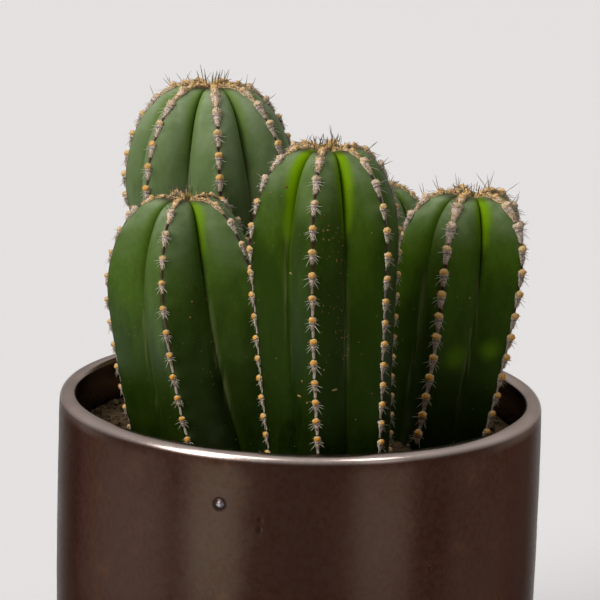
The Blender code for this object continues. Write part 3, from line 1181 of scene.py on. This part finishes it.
    def runs(self) -> list[float]:
        """Return the runs of the mesh's rings, from the foot up to the tip."""
        steps = math.ceil(self.shaft / self.shaft_step)
        low = 1.0 + (self.shaft + self.buried) / self.shaft
        shown = [2.0 - k / steps for k in range(steps)]
        hidden = [between(low, 2.0, share) for share in (0.01, 0.04, 0.10, 0.20, 0.34, 0.6, 0.85)]
        dome = [1.0 - k / self.dome_rings for k in range(self.dome_rings)]
        return hidden + shown + dome + [0.4 / self.dome_rings]

    def build_skin(self, finish: Material) -> Object:
        """Build the ribbed skin with the values that its finish reads.

        Args:
            finish: The skin's material.

        Returns:
            The stem.
        """
        piece = Piece("skin_" + self.name, "across", "rise", "vivid", "crease", "seam", "blush", "frost")
        places = [(0, share / 2.0) for share in self.ACROSS] + [(1, 0.5)]
        places += [(1, 1.0 - share / 2.0) for share in reversed(self.ACROSS[1:])]
        rings: list[list[Vector]] = []
        values: dict[str, list[float]] = {name: [] for name in piece.values}
        for run in self.runs():
            depth = self.top - self.height(run)
            beats = [row.beat(run) for row in self.rows]
            ring = []
            for rib in range(self.ribs):
                for step, offset in places:
                    position = rib + offset
                    across = 2.0 * min(offset, 1.0 - offset)
                    beat, bare = beats[(rib + step) % self.ribs]
                    point = self.skin(position, run)
                    ridge = self.swelling * beat * math.exp(-(across / self.ridge_width) ** 2)
                    ring.append(point + self.outward(position) * ridge)
                    vivid = self.flanks[(2 * rib + step) % len(self.flanks)]
                    if offset == 0.5:
                        vivid = (vivid + self.flanks[2 * rib % len(self.flanks)]) / 2
                    for name, number in self.marks(across, depth, point, bare, vivid).items():
                        values[name].append(number)
            rings.append(ring)
        foot = self.foot + Vector((0, 0, self.level - self.buried))
        tip = self.axis(self.top) + Vector((0, 0, self.top - self.dimple))
        ends = {"across": 0.5, "rise": 1.0, "vivid": 0.3, "crease": 0.3, "seam": 0.0, "blush": 0.8,
                "frost": 0.0}
        for name, number in ends.items():
            values[name] += [number, number]
        piece.add(loft(rings, foot, tip), **values)
        return piece.build(finish, Slot.SKIN, "stem_" + self.name)

    def marks(self, across: float, depth: float, point: Vector, bare: float,
              vivid: float) -> dict[str, float]:
        """Work out the values that the skin's finish reads at a point.

        Args:
            across: 0 on the crest and 1 in the valley.
            depth: How far below the top it is.
            point: The point, for its own unevenness.
            bare: How close it is to the bare stretch above an areole, from 0 to 1.
            vivid: How vivid this flank's groove is, from 0 to 1.

        Returns:
            Each value by its name.
        """
        patch = wander(point, 6.0, self.seed + 4)
        flush = self.flush * (1.0 + 0.2 * patch)
        edge = between(0.30, 0.93, min(depth / flush, 1.0) ** 0.85)
        groove = eased(across, edge, min(edge + 0.32, 0.99)) * (1.0 - eased(depth, flush * 0.65, flush))
        blotches = [math.exp(-((point - centre).length / radius) ** 3) for centre, radius in self.patches]
        blotch = max(blotches, default=0.0)
        line = math.exp(-((1.0 - across) / between(0.035, 0.02, min(depth / 40.0, 1.0))) ** 2)
        beside = math.exp(-((0.955 - across) / 0.06) ** 2)
        return {
            "across": across,
            # the higher the point, the lighter the painted skin; the darkening towards the base is partly
            # painted shade
            "rise": self.tone_lift + 1.0 - depth / (self.top - self.level),
            "frost": self.frost * (1.0 - eased(depth, 35.0, 62.0)),
            "vivid": max(groove * vivid, 0.4 * blotch * (1.0 + 0.6 * patch)),
            # painted shade along the valley's line, strongest near the tip
            "crease": line * between(0.80, 0.22, eased(depth, 10.0, 30.0)),
            # a pale streak beside the valley's line: partly scar tissue, partly a painted sheen
            "seam": beside * eased(depth, 15.0, 27.0) * (1.0 - eased(depth, 44.0, 66.0)),
            "blush": max(bare * math.exp(-(across / 0.055) ** 2) * (1.0 - eased(depth, 34.0, 60.0)),
                         0.7 - 0.7 * eased(depth, 0.8, 2.2)),
        }

    def build_needles(self, finish: Material) -> Object:
        """Build the young needles that stand on the tip.

        Args:
            finish: The spines' material.

        Returns:
            The tuft.
        """
        draw = random.Random(self.seed + 70)
        tuft = Piece("tip_needles_" + self.name, "along", "age")
        middle = self.axis(self.top) + Vector((0, 0, self.top - self.dimple + 0.6))
        for k in range(self.needles):
            away = 0.4 + 4.2 * (k / self.needles) ** 0.8
            way = heading(GOLDEN_ANGLE * k + draw.uniform(-15.0, 15.0))
            rise = draw.uniform(0.9, 1.9)
            length = draw.uniform(2.6, 4.6) * self.radius / USUAL_RADIUS
            tilt = (way * (0.10 + 0.11 * away) + Vector((0, 0, rise))).normalized()
            root = middle + way * away + Vector((0, 0, 0.22 * away))
            bend = way * draw.uniform(-0.15, 0.3)
            add_needle(tuft, root, tilt, bend, length, draw.uniform(0.15, 0.2), 0.0)
        return tuft.build(finish, Slot.SPINES, "tip_spines_" + self.name)

    def build_specks(self, finish: Material) -> Object:
        """Build the corky specks and scars on the skin.

        Args:
            finish: The cork's material.

        Returns:
            The specks.
        """
        draw = random.Random(self.seed + 140)
        piece = Piece("corky_specks_" + self.name, "tone")
        for k in range(self.specks):
            busy = k < self.specks * 0.6
            position = draw.uniform(0.10, 0.55) if busy else draw.uniform(0.0, self.ribs)
            if abs(position - round(position)) < 0.07:
                position += 0.12
            run = draw.uniform(0.70, 1.45) if busy else draw.uniform(0.5, 1.9)
            size = 0.11 + 0.22 * draw.random() ** 3
            spot = self.spot(position, run)
            half = (size, size * draw.uniform(0.7, 1.4), 0.09 + 0.2 * size)
            piece.add(lump(spot, half, 0.5, float(k), 4, 8), tone=draw.random() ** 1.6)
        for position, run in self.scars:
            spot = self.spot(position, run)
            piece.add(lump(spot, (0.95, 0.27, 0.16), 0.35, position, 5, 12), tone=0.9)
        return piece.build(finish, Slot.SKIN)


class Row:
    """The areoles along one rib's crest."""

    CROWDED = 0.25          # share of the pitch that is left at the very tip
    SHRINK = 0.27           # share of the pitch lost at the soil
    START = 1.6             # distance from the axis where the row begins
    ABOVE_SOIL = 1.5
    STEPS = 900             # steps in the walk down the crest
    FUZZ = 46               # fibres on each ball and threads on the felt below it
    THREADS = 72
    # side spines, in pairs: angle from straight down, distance below the areole and length
    SIDE_SPINES = ((94, 0.0, 1.5), (80, 0.8, 1.9), (62, 1.2, 2.0), (36, 1.7, 2.4))

    def __init__(self, stem: Stem, rib: int) -> None:
        """Walk down a crest and place the areoles.

        Args:
            stem: The stem.
            rib: The rib's number, from 0.
        """
        self.stem, self.rib = stem, rib
        self.draw = random.Random(stem.seed * 100 + rib)
        last = 1.0 + (stem.shaft - self.ABOVE_SOIL) / stem.shaft
        self.runs, self.lengths = [], []
        before, walked = None, 0.0
        for k in range(1, self.STEPS + 1):
            run = last * k / self.STEPS
            if stem.reach(run) < self.START:
                continue
            point = stem.skin(rib, run)
            walked += (point - before).length if before else 0.0
            before = point
            self.runs.append(run)
            self.lengths.append(walked)
        self.length = walked
        self.stations = self.place_areoles()

    def place_areoles(self) -> list[float]:
        """Return each areole's distance along the crest."""
        found, distance = [], 0.7
        shift = self.stem.shifts[self.rib % len(self.stem.shifts)]
        while True:
            moved = distance + shift * eased(distance, 2.0, 12.0)
            if moved > self.length - 0.8:
                return found
            found.append(moved)
            pitch = self.stem.pitch * between(self.CROWDED, 1.0, eased(distance, 3.0, 11.0))
            pitch *= 1.0 - self.SHRINK * min(distance / 92.0, 1.0) ** 1.4
            distance += pitch * self.draw.uniform(0.97, 1.03)

    def run_at(self, distance: float) -> float:
        """Return the stem's run at a distance along the crest."""
        return read_off(distance, self.lengths, self.runs)

    def spot(self, distance: float) -> Spot:
        """Return the place on the crest at a distance along it."""
        return self.stem.spot(float(self.rib), self.run_at(distance))

    def distance_at(self, run: float) -> float:
        """Return the distance along the crest at one of the stem's runs."""
        return read_off(run, self.runs, self.lengths)

    def beat(self, run: float) -> tuple[float, float]:
        """Say how the crest swells at its areoles.

        Args:
            run: A run of the stem.

        Returns:
            The swelling, 1 on an areole, and the bareness, 1 just above one.
        """
        if run > 2.0:
            return 0.0, 0.0
        distance = self.distance_at(run)
        swelling = bareness = 0.0
        for station in self.stations:
            swelling = max(swelling, math.exp(-((distance - station - 0.6) / 1.7) ** 2))
            bareness = max(bareness, math.exp(-((distance - station + 1.9) / 1.1) ** 2))
        return swelling, bareness

    def size_at(self, distance: float) -> float:
        """Return an areole's size at a distance along the crest, as a share of the usual."""
        full = self.stem.radius / USUAL_RADIUS
        crowded = between(0.64, 1.14, eased(distance, 2.0, 11.0))
        settled = between(1.0, 0.82, eased(distance, 12.0, 26.0))
        worn = between(1.0, 0.93, eased(distance, 30.0, 70.0))
        return (0.55 + 0.45 * full) * self.stem.woolly * crowded * settled * worn

    def felt_shape(self, distance: float) -> tuple[float, float, float, float]:
        """Describe the strip of felt at a distance along the crest.

        Args:
            distance: The distance along the crest.

        Returns:
            Half its width, its height, its tone, and how flecked it is.
        """
        above = [station for station in self.stations if station <= distance + 0.5]
        if not above:
            return 0.5, 0.35, 0.5, 0.5
        station = above[-1]
        size = self.size_at(station)
        past = (distance - station) / size
        long = between(3.7, 2.9, eased(station, 15.0, 70.0))
        lasting = 1.0 - eased(past, long - 0.4, long)
        run = min(max(past - 1.0, 0.0) / (long - 1.0), 1.0)
        wedge = between(1.02, 0.38, run ** 0.8)
        bare_tone = between(0.0, 0.22, eased(station, 24.0, 50.0))
        felt_tone = between(0.60, 0.35, eased(station, 5.0, 16.0))
        shadow = math.exp(-((past - 1.1) / 0.25) ** 2)
        half = between(between(0.38, 0.46, eased(station, 30.0, 60.0)), wedge, lasting) * size
        rise = between(0.18, between(0.95, 0.45, run), lasting) * size
        tone = between(bare_tone, felt_tone - 0.2 * shadow, lasting)
        return half, rise, tone, between(0.25, 0.95, lasting)

    def build(self, finish: Material) -> Object:
        """Build the row: a felt strip, a ball of wool on each areole, and loose fibres.

        Args:
            finish: The wool's material.

        Returns:
            The row.
        """
        label = f"{self.stem.name}_{self.rib + 1}"
        piece = Piece("wool_" + label, "tone", "fleck")
        self.add_felt(piece)
        for station in self.stations:
            self.add_ball(piece, station)
            self.add_fibres(piece, station)
        return piece.build(finish, Slot.WOOL, "areoles_" + label)

    def add_felt(self, piece: Piece) -> None:
        """Lay the strip of felt that joins the areoles."""
        sides, step = 9, 0.3
        rings, tones, flecks = [], [], []
        count = int((self.length - 0.3) / step)
        for k in range(count):
            distance = 0.2 + k * step
            half, rise, tone, fleck = self.felt_shape(distance)
            spot = self.spot(distance)
            sway = 0.16 * wander(spot.point, 3.0, self.rib + 2.0)
            ring = []
            for n in range(sides):
                turn = math.tau * n / sides
                ragged = 1.0 + 0.20 * wander(spot.point + Vector((n * 1.7, 0, 0)), 0.55, self.rib)
                lift = rise * math.sin(turn) if math.sin(turn) > 0 else 0.35 * math.sin(turn)
                ring.append(spot.at(sway + half * ragged * math.cos(turn), 0.0, lift * ragged))
                tones.append(tone)
                flecks.append(fleck)
            rings.append(ring)
        ends = [tones[0], tones[-1]], [flecks[0], flecks[-1]]
        first, last = self.spot(0.05).point, self.spot(0.2 + count * step).point
        piece.add(loft(rings, first, last), tone=tones + ends[0], fleck=flecks + ends[1])

    def ball_tone(self, station: float) -> float:
        """Return how orange an areole's wool is: cream near the tip, orange further down."""
        young = between(0.74, 0.46, eased(station, 6.0, 12.0))
        warm = between(young, 0.84, eased(station, 16.0, 30.0))
        return between(warm, 1.0, eased(station, 30.0, 60.0)) - self.draw.uniform(0.0, 0.06)

    def add_ball(self, piece: Piece, station: float) -> None:
        """Add the ball of wool on one areole."""
        spot = self.spot(station)
        size = self.size_at(station) * self.draw.uniform(0.94, 1.06)
        middle = spot.at(self.draw.uniform(-0.12, 0.12), 0.0, 0.42 * size)
        centre = Spot(middle, spot.side, spot.down, spot.out)
        half = (1.03 * size, 0.86 * size, 0.90 * size)
        rough = between(0.42, 0.24, eased(station, 8.0, 26.0))
        shape = lump(centre, half, rough, self.draw.uniform(0.0, 90.0), 11, 18)
        warm = self.ball_tone(station)
        tones = []
        for point in shape[0]:
            local = point - centre.point
            core = max(local.dot(spot.out) / half[2], 0.0)
            rim = min(math.hypot(local.dot(spot.side) / half[0], local.dot(spot.down) / half[1]), 1.0)
            tones.append(between(min(warm, 0.64), warm, eased(core - 0.5 * rim, -0.2, 0.5)))
        piece.add(shape, tone=tones, fleck=between(0.8, 0.22, eased(station, 13.0, 28.0)))

    def add_fibres(self, piece: Piece, station: float) -> None:
        """Add the loose fibres of one areole: fuzz on the ball and threads on the felt."""
        draw = self.draw
        size = self.size_at(station)
        spot = self.spot(station)
        warm = self.ball_tone(station)
        for _ in range(self.FUZZ):
            way = spot.way(draw.gauss(0, 0.7), draw.gauss(0, 0.7), draw.uniform(0.1, 1.0))
            flat = Vector((way.dot(spot.side), way.dot(spot.down), way.dot(spot.out)))
            root = spot.at(1.05 * size * flat.x, 0.84 * size * flat.y, (0.42 + 0.86 * flat.z) * size)
            turned = (way + spot.down * draw.uniform(-0.3, 0.7)).normalized()
            piece.add(hair(root, turned, draw.uniform(0.22, 0.45) * size, 0.035, draw.uniform(0.0, 2.0)),
                      tone=min(max(warm - draw.uniform(-0.05, 0.3), 0.4), 1.0), fleck=0.1)
        long = between(3.7, 2.9, eased(station, 15.0, 70.0)) * size
        for _ in range(self.THREADS):
            past = draw.uniform(0.5, 1.0) * long
            if station + past > self.length - 0.5:
                continue
            half, rise, _, _ = self.felt_shape(station + past)
            place = self.spot(station + past)
            turn = draw.uniform(0.1, 0.9) * math.pi
            root = place.at(half * math.cos(turn), 0.0, 0.9 * rise * math.sin(turn))
            way = place.way(0.9 * math.cos(turn) + draw.gauss(0, 0.25), draw.uniform(0.1, 1.1),
                            draw.uniform(0.2, 0.8) * math.sin(turn))
            dark = draw.random() < 0.24
            piece.add(hair(root, way, draw.uniform(0.3, 0.62) * size, 0.045, draw.uniform(0.0, 2.0)),
                      tone=draw.uniform(0.06, 0.2) if dark else draw.uniform(0.36, 0.52), fleck=0.15)

    def add_spines(self, piece: Piece) -> None:
        """Add the spines of every areole of the row."""
        draw = self.draw
        for station in self.stations:
            size = self.size_at(station)
            spot = self.spot(station)
            age = 0.4 * eased(station, 4.0, 16.0) + 0.6 * eased(station, 30.0, 78.0)
            for turn, past, long in self.SIDE_SPINES:
                for hand in (-1.0, 1.0):
                    if draw.random() < 0.16:
                        continue
                    angle = math.radians(turn + draw.uniform(-12.0, 12.0))
                    root = spot.at(hand * 0.55 * size, past * size, 0.35 * size)
                    way = spot.way(hand * math.sin(angle), math.cos(angle), draw.uniform(0.22, 0.5))
                    bend = spot.out * draw.uniform(-0.1, 0.25) + spot.down * draw.uniform(-0.05, 0.2)
                    length = long * draw.uniform(0.75, 1.2) * (0.55 + 0.45 * size)
                    faded = 0.9 if past == 0.0 and station > 12.0 else min(age, 0.55)
                    add_needle(piece, root, way, bend, length, draw.uniform(0.085, 0.115),
                               faded + draw.uniform(-0.08, 0.08))
            self.add_central(piece, spot, station, size)

    def add_central(self, piece: Piece, spot: Spot, station: float, size: float) -> None:
        """Add the longer spines that stand straight out of the young areoles."""
        draw = self.draw
        fresh = 1.0 - eased(station, 10.0, 26.0)
        count = 1 + int(fresh * 2.4 * draw.random() + 0.3)
        if draw.random() < (0.74 if station < 9.0 or station > 30.0 else 0.0):
            return
        for _ in range(count):
            way = spot.way(draw.gauss(0, 0.34), draw.gauss(-0.12, 0.34), 1.0)
            length = between(1.7, 4.4, fresh) * draw.uniform(0.65, 1.15) * self.stem.woolly
            root = spot.at(0.0, 0.5 * size, 0.4 * size)
            bend = spot.down * draw.uniform(-0.3, 0.2)
            add_needle(piece, root, way, bend, length, 0.12, between(0.42, 0.02, fresh))


def five_stems() -> list[Stem]:
    """Return the plant's five columns."""
    return [
        Stem("centre", ribs=6, turn=-9.5, radius=20.5, dome=27.8, fullness=2.80, valley=0.72, taper=0.19,
             seed=11, pitch=6.5, woolly=1.0, tone_lift=-0.13, frost=0.0, specks=150,
             shifts=(1.5, 3.1, 0.5, 2.1, 0.9, 4.2), flush=27.0,
             flanks=(0.6, 1.0, 0.4, 0.4, 0.4, 0.4, 0.4, 0.4, 0.4, 0.4, 1.0, 0.25),
             scars=((0.28, 1.56), (-0.30, 1.60), (-0.42, 1.07))),
        Stem("left", ribs=5, turn=-16.0, radius=22.9, dome=33.4, fullness=2.43, valley=0.68, taper=-0.08,
             seed=12, pitch=6.95, woolly=0.88, tone_lift=0.12, frost=0.04, specks=26,
             shifts=(1.1, -1.2, 2.2, 0.8, 4.1), flush=18.0,
             flanks=(0.1, 0.75, 0.3, 0.3, 0.3, 0.3, 0.3, 0.3, 0.06, 0.06)),
        Stem("right", ribs=5, turn=-21.2, radius=18.7, dome=19.6, fullness=2.70, valley=0.70, taper=0.13,
             seed=13, pitch=6.5, woolly=1.30, tone_lift=0.04, frost=0.0, specks=14,
             shifts=(2.8, 2.9, 0.1, 1.3, 2.4), flush=18.0,
             flanks=(0.45, 0.95, 0.3, 0.3, 0.3, 0.3, 0.3, 0.3, 0.0, 0.0),
             blotches=((0.30, 44.0, 3.4), (0.78, 42.0, 2.8))),
        Stem("tall", ribs=7, turn=7.0, radius=25.6, dome=33.0, fullness=2.25, valley=0.79, taper=0.40,
             seed=14, pitch=6.6, woolly=1.1, tone_lift=0.04, frost=0.36, specks=12,
             shifts=(2.2, 0.7, 1.5, 0.3, 1.9, 1.0, 0.5), flush=22.0, flanks=(0.3,)),
        Stem("small", ribs=6, turn=20.0, radius=15.8, dome=19.0, fullness=2.30, valley=0.74, taper=0.08,
             seed=15, pitch=6.0, woolly=0.95, tone_lift=0.0, frost=0.15, specks=8,
             shifts=(0.4, 1.6, 0.9, 2.3, 0.2, 1.2), flush=12.0, flanks=(0.2,)),
    ]


@dataclass
class Plant:
    """The whole plant: its stems with all that grows on them."""

    stems: list[Stem] = field(default_factory=five_stems)

    def build(self, skin: Material, wool: Material, spines: Material,
              cork: Material) -> None:
        """Build every stem.

        Args:
            skin: The skin's material.
            wool: The wool's material.
            spines: The spines' material.
            cork: The specks' material.
        """
        for stem in self.stems:
            stem.build_skin(skin)
            stem.build_specks(cork)
            stem.build_needles(spines)
            prickles = Piece("spines_" + stem.name, "along", "age")
            for row in stem.rows:
                row.build(wool)
                row.add_spines(prickles)
            prickles.build(spines, Slot.SPINES)

    @property
    def level(self) -> float:
        """The soil's height, as the stems' feet give it."""
        return self.stems[0].level


# ---------------------------------------------------------------- studio

@dataclass(frozen=True)
class Panel:
    """A soft rectangular panel light, whose glow shows only in glossy surfaces."""

    name: str
    bearing: float
    elevation: float
    width: float
    height: float
    radiance: float
    colour: Colour = (1.0, 1.0, 1.0)
    distance: float = 3000.0
    above_floor: float | None = None    # height of a close panel's middle

    def build(self, target: Vector) -> Object:
        """Hang the panel.

        Args:
            target: The point that it is aimed at, in millimetres.

        Returns:
            The panel.
        """
        light = bpy.data.lights.new(self.name, "AREA")
        light.shape = "RECTANGLE"
        light.size, light.size_y = self.width * MM, self.height * MM
        light.energy = self.radiance * math.pi * light.size * light.size_y
        light.color = self.colour
        away = aloft(self.bearing, self.elevation)
        panel = bpy.data.objects.new(self.name, light)
        if self.above_floor is not None:
            target = Vector((0, 0, self.above_floor))
        panel.location = (target + away * self.distance) * MM
        panel.rotation_mode = "QUATERNION"
        panel.rotation_quaternion = away.to_track_quat("Z", "Y")
        panel.visible_diffuse = panel.visible_camera = False
        bpy.context.scene.collection.objects.link(panel)
        return panel


@dataclass(frozen=True)
class SoftLight:
    """A distant light that is soft because it covers a wide part of the sky."""

    name: str
    bearing: float
    elevation: float
    spread: float
    strength: float
    mirrored: bool = True       # whether glossy surfaces show it

    def build(self) -> Object:
        """Hang the light and return it."""
        light = bpy.data.lights.new(self.name, "SUN")
        light.energy, light.angle = self.strength, math.radians(self.spread)
        sun = bpy.data.objects.new(self.name, light)
        sun.rotation_mode = "QUATERNION"
        sun.rotation_quaternion = aloft(self.bearing, self.elevation).to_track_quat("Z", "Y")
        sun.visible_glossy = self.mirrored
        bpy.context.scene.collection.objects.link(sun)
        return sun


@dataclass(frozen=True)
class Studio:
    """A plain pale floor, soft light from all round and from the upper left, and glossy panels."""

    floor_half: float = 9000.0
    floor_colour: Colour = (0.800, 0.776, 0.768)
    bounce: float = 0.28        # how much of its light the floor throws back on the object
    sky_colour: Colour = (1.0, 1.0, 1.0)
    sky_strength: float = 0.62
    front_fill: float = 0.07    # the sky's strength as matt surfaces see it, in front
    back_fill: float = 0.39     # and behind
    lights: tuple[SoftLight, ...] = (
        SoftLight("soft_key", -54.0, 33.0, 34.0, 2.05),
        SoftLight("soft_top", -90.0, 78.0, 90.0, 1.25, False),
    )
    # name, bearing, elevation, width, height and radiance, then colour, distance and height over the floor
    panels: tuple[Panel, ...] = (
        Panel("window_left", -44.0, 10.0, 1500.0, 2400.0, 1.9, (0.82, 0.95, 1.0)),
        Panel("window_right", 40.0, 10.0, 900.0, 2400.0, 1.4, (0.85, 0.95, 1.0)),
        Panel("card_left", -33.6, 0.0, 100.0, 86.0, 3.4, (0.59, 1.0, 1.0), 246.0, 47.0),
        Panel("card_right", 35.0, 0.0, 106.0, 86.0, 2.2, (0.60, 0.98, 1.0), 252.0, 47.0),
        Panel("card_far_left", -82.0, 0.0, 205.0, 86.0, 1.7, (0.60, 0.88, 1.0), 200.0, 45.0),
        Panel("card_far_right", 91.0, 0.0, 207.0, 86.0, 0.72, (0.62, 0.93, 1.0), 203.0, 45.0),
        Panel("lamp_left", -47.0, 59.0, 1600.0, 1000.0, 3.2, (1.0, 0.99, 0.97)),
        Panel("lamp_right", 50.0, 59.0, 850.0, 1000.0, 3.7, (1.0, 0.99, 0.97)),
    )

    def build(self, target: Vector) -> None:
        """Build the floor, the sky and the lights.

        Args:
            target: The point that the panels are aimed at, in millimetres.
        """
        bpy.context.scene.view_settings.view_transform = "Standard"
        self.build_sky()
        self.build_floor()
        for light in self.lights:
            light.build()
        for panel in self.panels:
            panel.build(target)

    def build_sky(self) -> None:
        """Light the sky: bright where glossy surfaces mirror it, weaker as a fill."""
        world = bpy.data.worlds.new("studio_sky")
        world.use_nodes = True
        sky = world.node_tree.nodes["Background"]
        sky.inputs["Color"].default_value = (*self.sky_colour, 1.0)
        wiring = Wiring(world.node_tree)
        matt = wiring.add("LightPath").outputs["Is Diffuse Ray"]
        behind = wiring.add("SeparateXYZ", {0: wiring.add("TexCoord").outputs["Generated"]}).outputs[1]
        fill = wiring.span(behind, -0.9, 0.9, self.front_fill, self.back_fill)
        wiring.feed(sky.inputs["Strength"], wiring.span(matt, 0.0, 1.0, self.sky_strength, fill))
        bpy.context.scene.world = world

    def build_floor(self) -> None:
        """Lay the floor, which is no part of the object."""
        mesh = bpy.data.meshes.new("floor")
        half = self.floor_half * MM
        corners = [(-half, -half, 0), (half, -half, 0), (half, half, 0), (-half, half, 0)]
        mesh.from_pydata(corners, [], [(0, 1, 2, 3)])
        material, wiring, shader = Finish.start("floor", Roughness=0.9, Specular_IOR_Level=0.1)
        places = wiring.add("TexCoord").outputs["Object"]
        cloud = wiring.add("TexNoise", {"Vector": places, "Scale": 1.5}).outputs[0]
        soft = tuple(0.985 * channel for channel in self.floor_colour)
        dim = tuple(self.bounce * channel for channel in self.floor_colour)
        matt = wiring.add("LightPath").outputs["Is Diffuse Ray"]
        seen = wiring.blend(cloud, self.floor_colour, soft)
        wiring.feed(shader.inputs["Base Color"], wiring.blend(matt, seen, dim))
        mesh.materials.append(material)
        floor = bpy.data.objects.new("floor", mesh)
        bpy.context.scene.collection.objects.link(floor)


@dataclass(frozen=True)
class CameraStand:
    """A long lens on the plant's best side, looking slightly down."""

    aim: tuple[float, float, float] = (-1.0, 0.0, 145.9)
    distance: float = 720.0
    elevation: float = 12.8
    roll: float = 1.67
    lens: float = 155.0
    sensor: float = 36.0

    def build(self) -> Object:
        """Place the camera and make it the scene's own.

        Returns:
            The camera.
        """
        data = bpy.data.cameras.new("camera")
        data.lens, data.sensor_width = self.lens, self.sensor
        data.clip_start, data.clip_end = 0.01, 50.0
        camera = bpy.data.objects.new("camera", data)
        tilt = math.radians(90.0 - self.elevation)
        turn = Matrix.Rotation(tilt, 4, "X") @ Matrix.Rotation(math.radians(self.roll), 4, "Z")
        back = Vector((0.0, -math.sin(tilt), math.cos(tilt)))
        place = (Vector(self.aim) + back * self.distance) * MM
        camera.matrix_world = Matrix.Translation(place) @ turn
        bpy.context.scene.collection.objects.link(camera)
        bpy.context.scene.camera = camera
        return camera


def main() -> None:
    """Build the looks in order: camera and studio, finishes, pot, soil and plant."""
    logging.basicConfig(level=logging.INFO, format="%(name)s: %(message)s")
    CameraStand().build()
    low, high = CAD_BOX
    Studio().build((low + high) / 2 / MM)
    effects = Effects()
    skin, wool = SkinFinish().make(effects), WoolFinish().make(effects)
    spines, cork = SpineFinish().make(effects), CorkFinish().make(effects)
    plant = Plant()
    pot = Pot()
    pot.build(GlazeFinish().make(effects))
    Soil().build(pot, plant.level, SoilFinish().make(effects))
    plant.build(skin, wool, spines, cork)


if __name__ == "__main__":
    main()
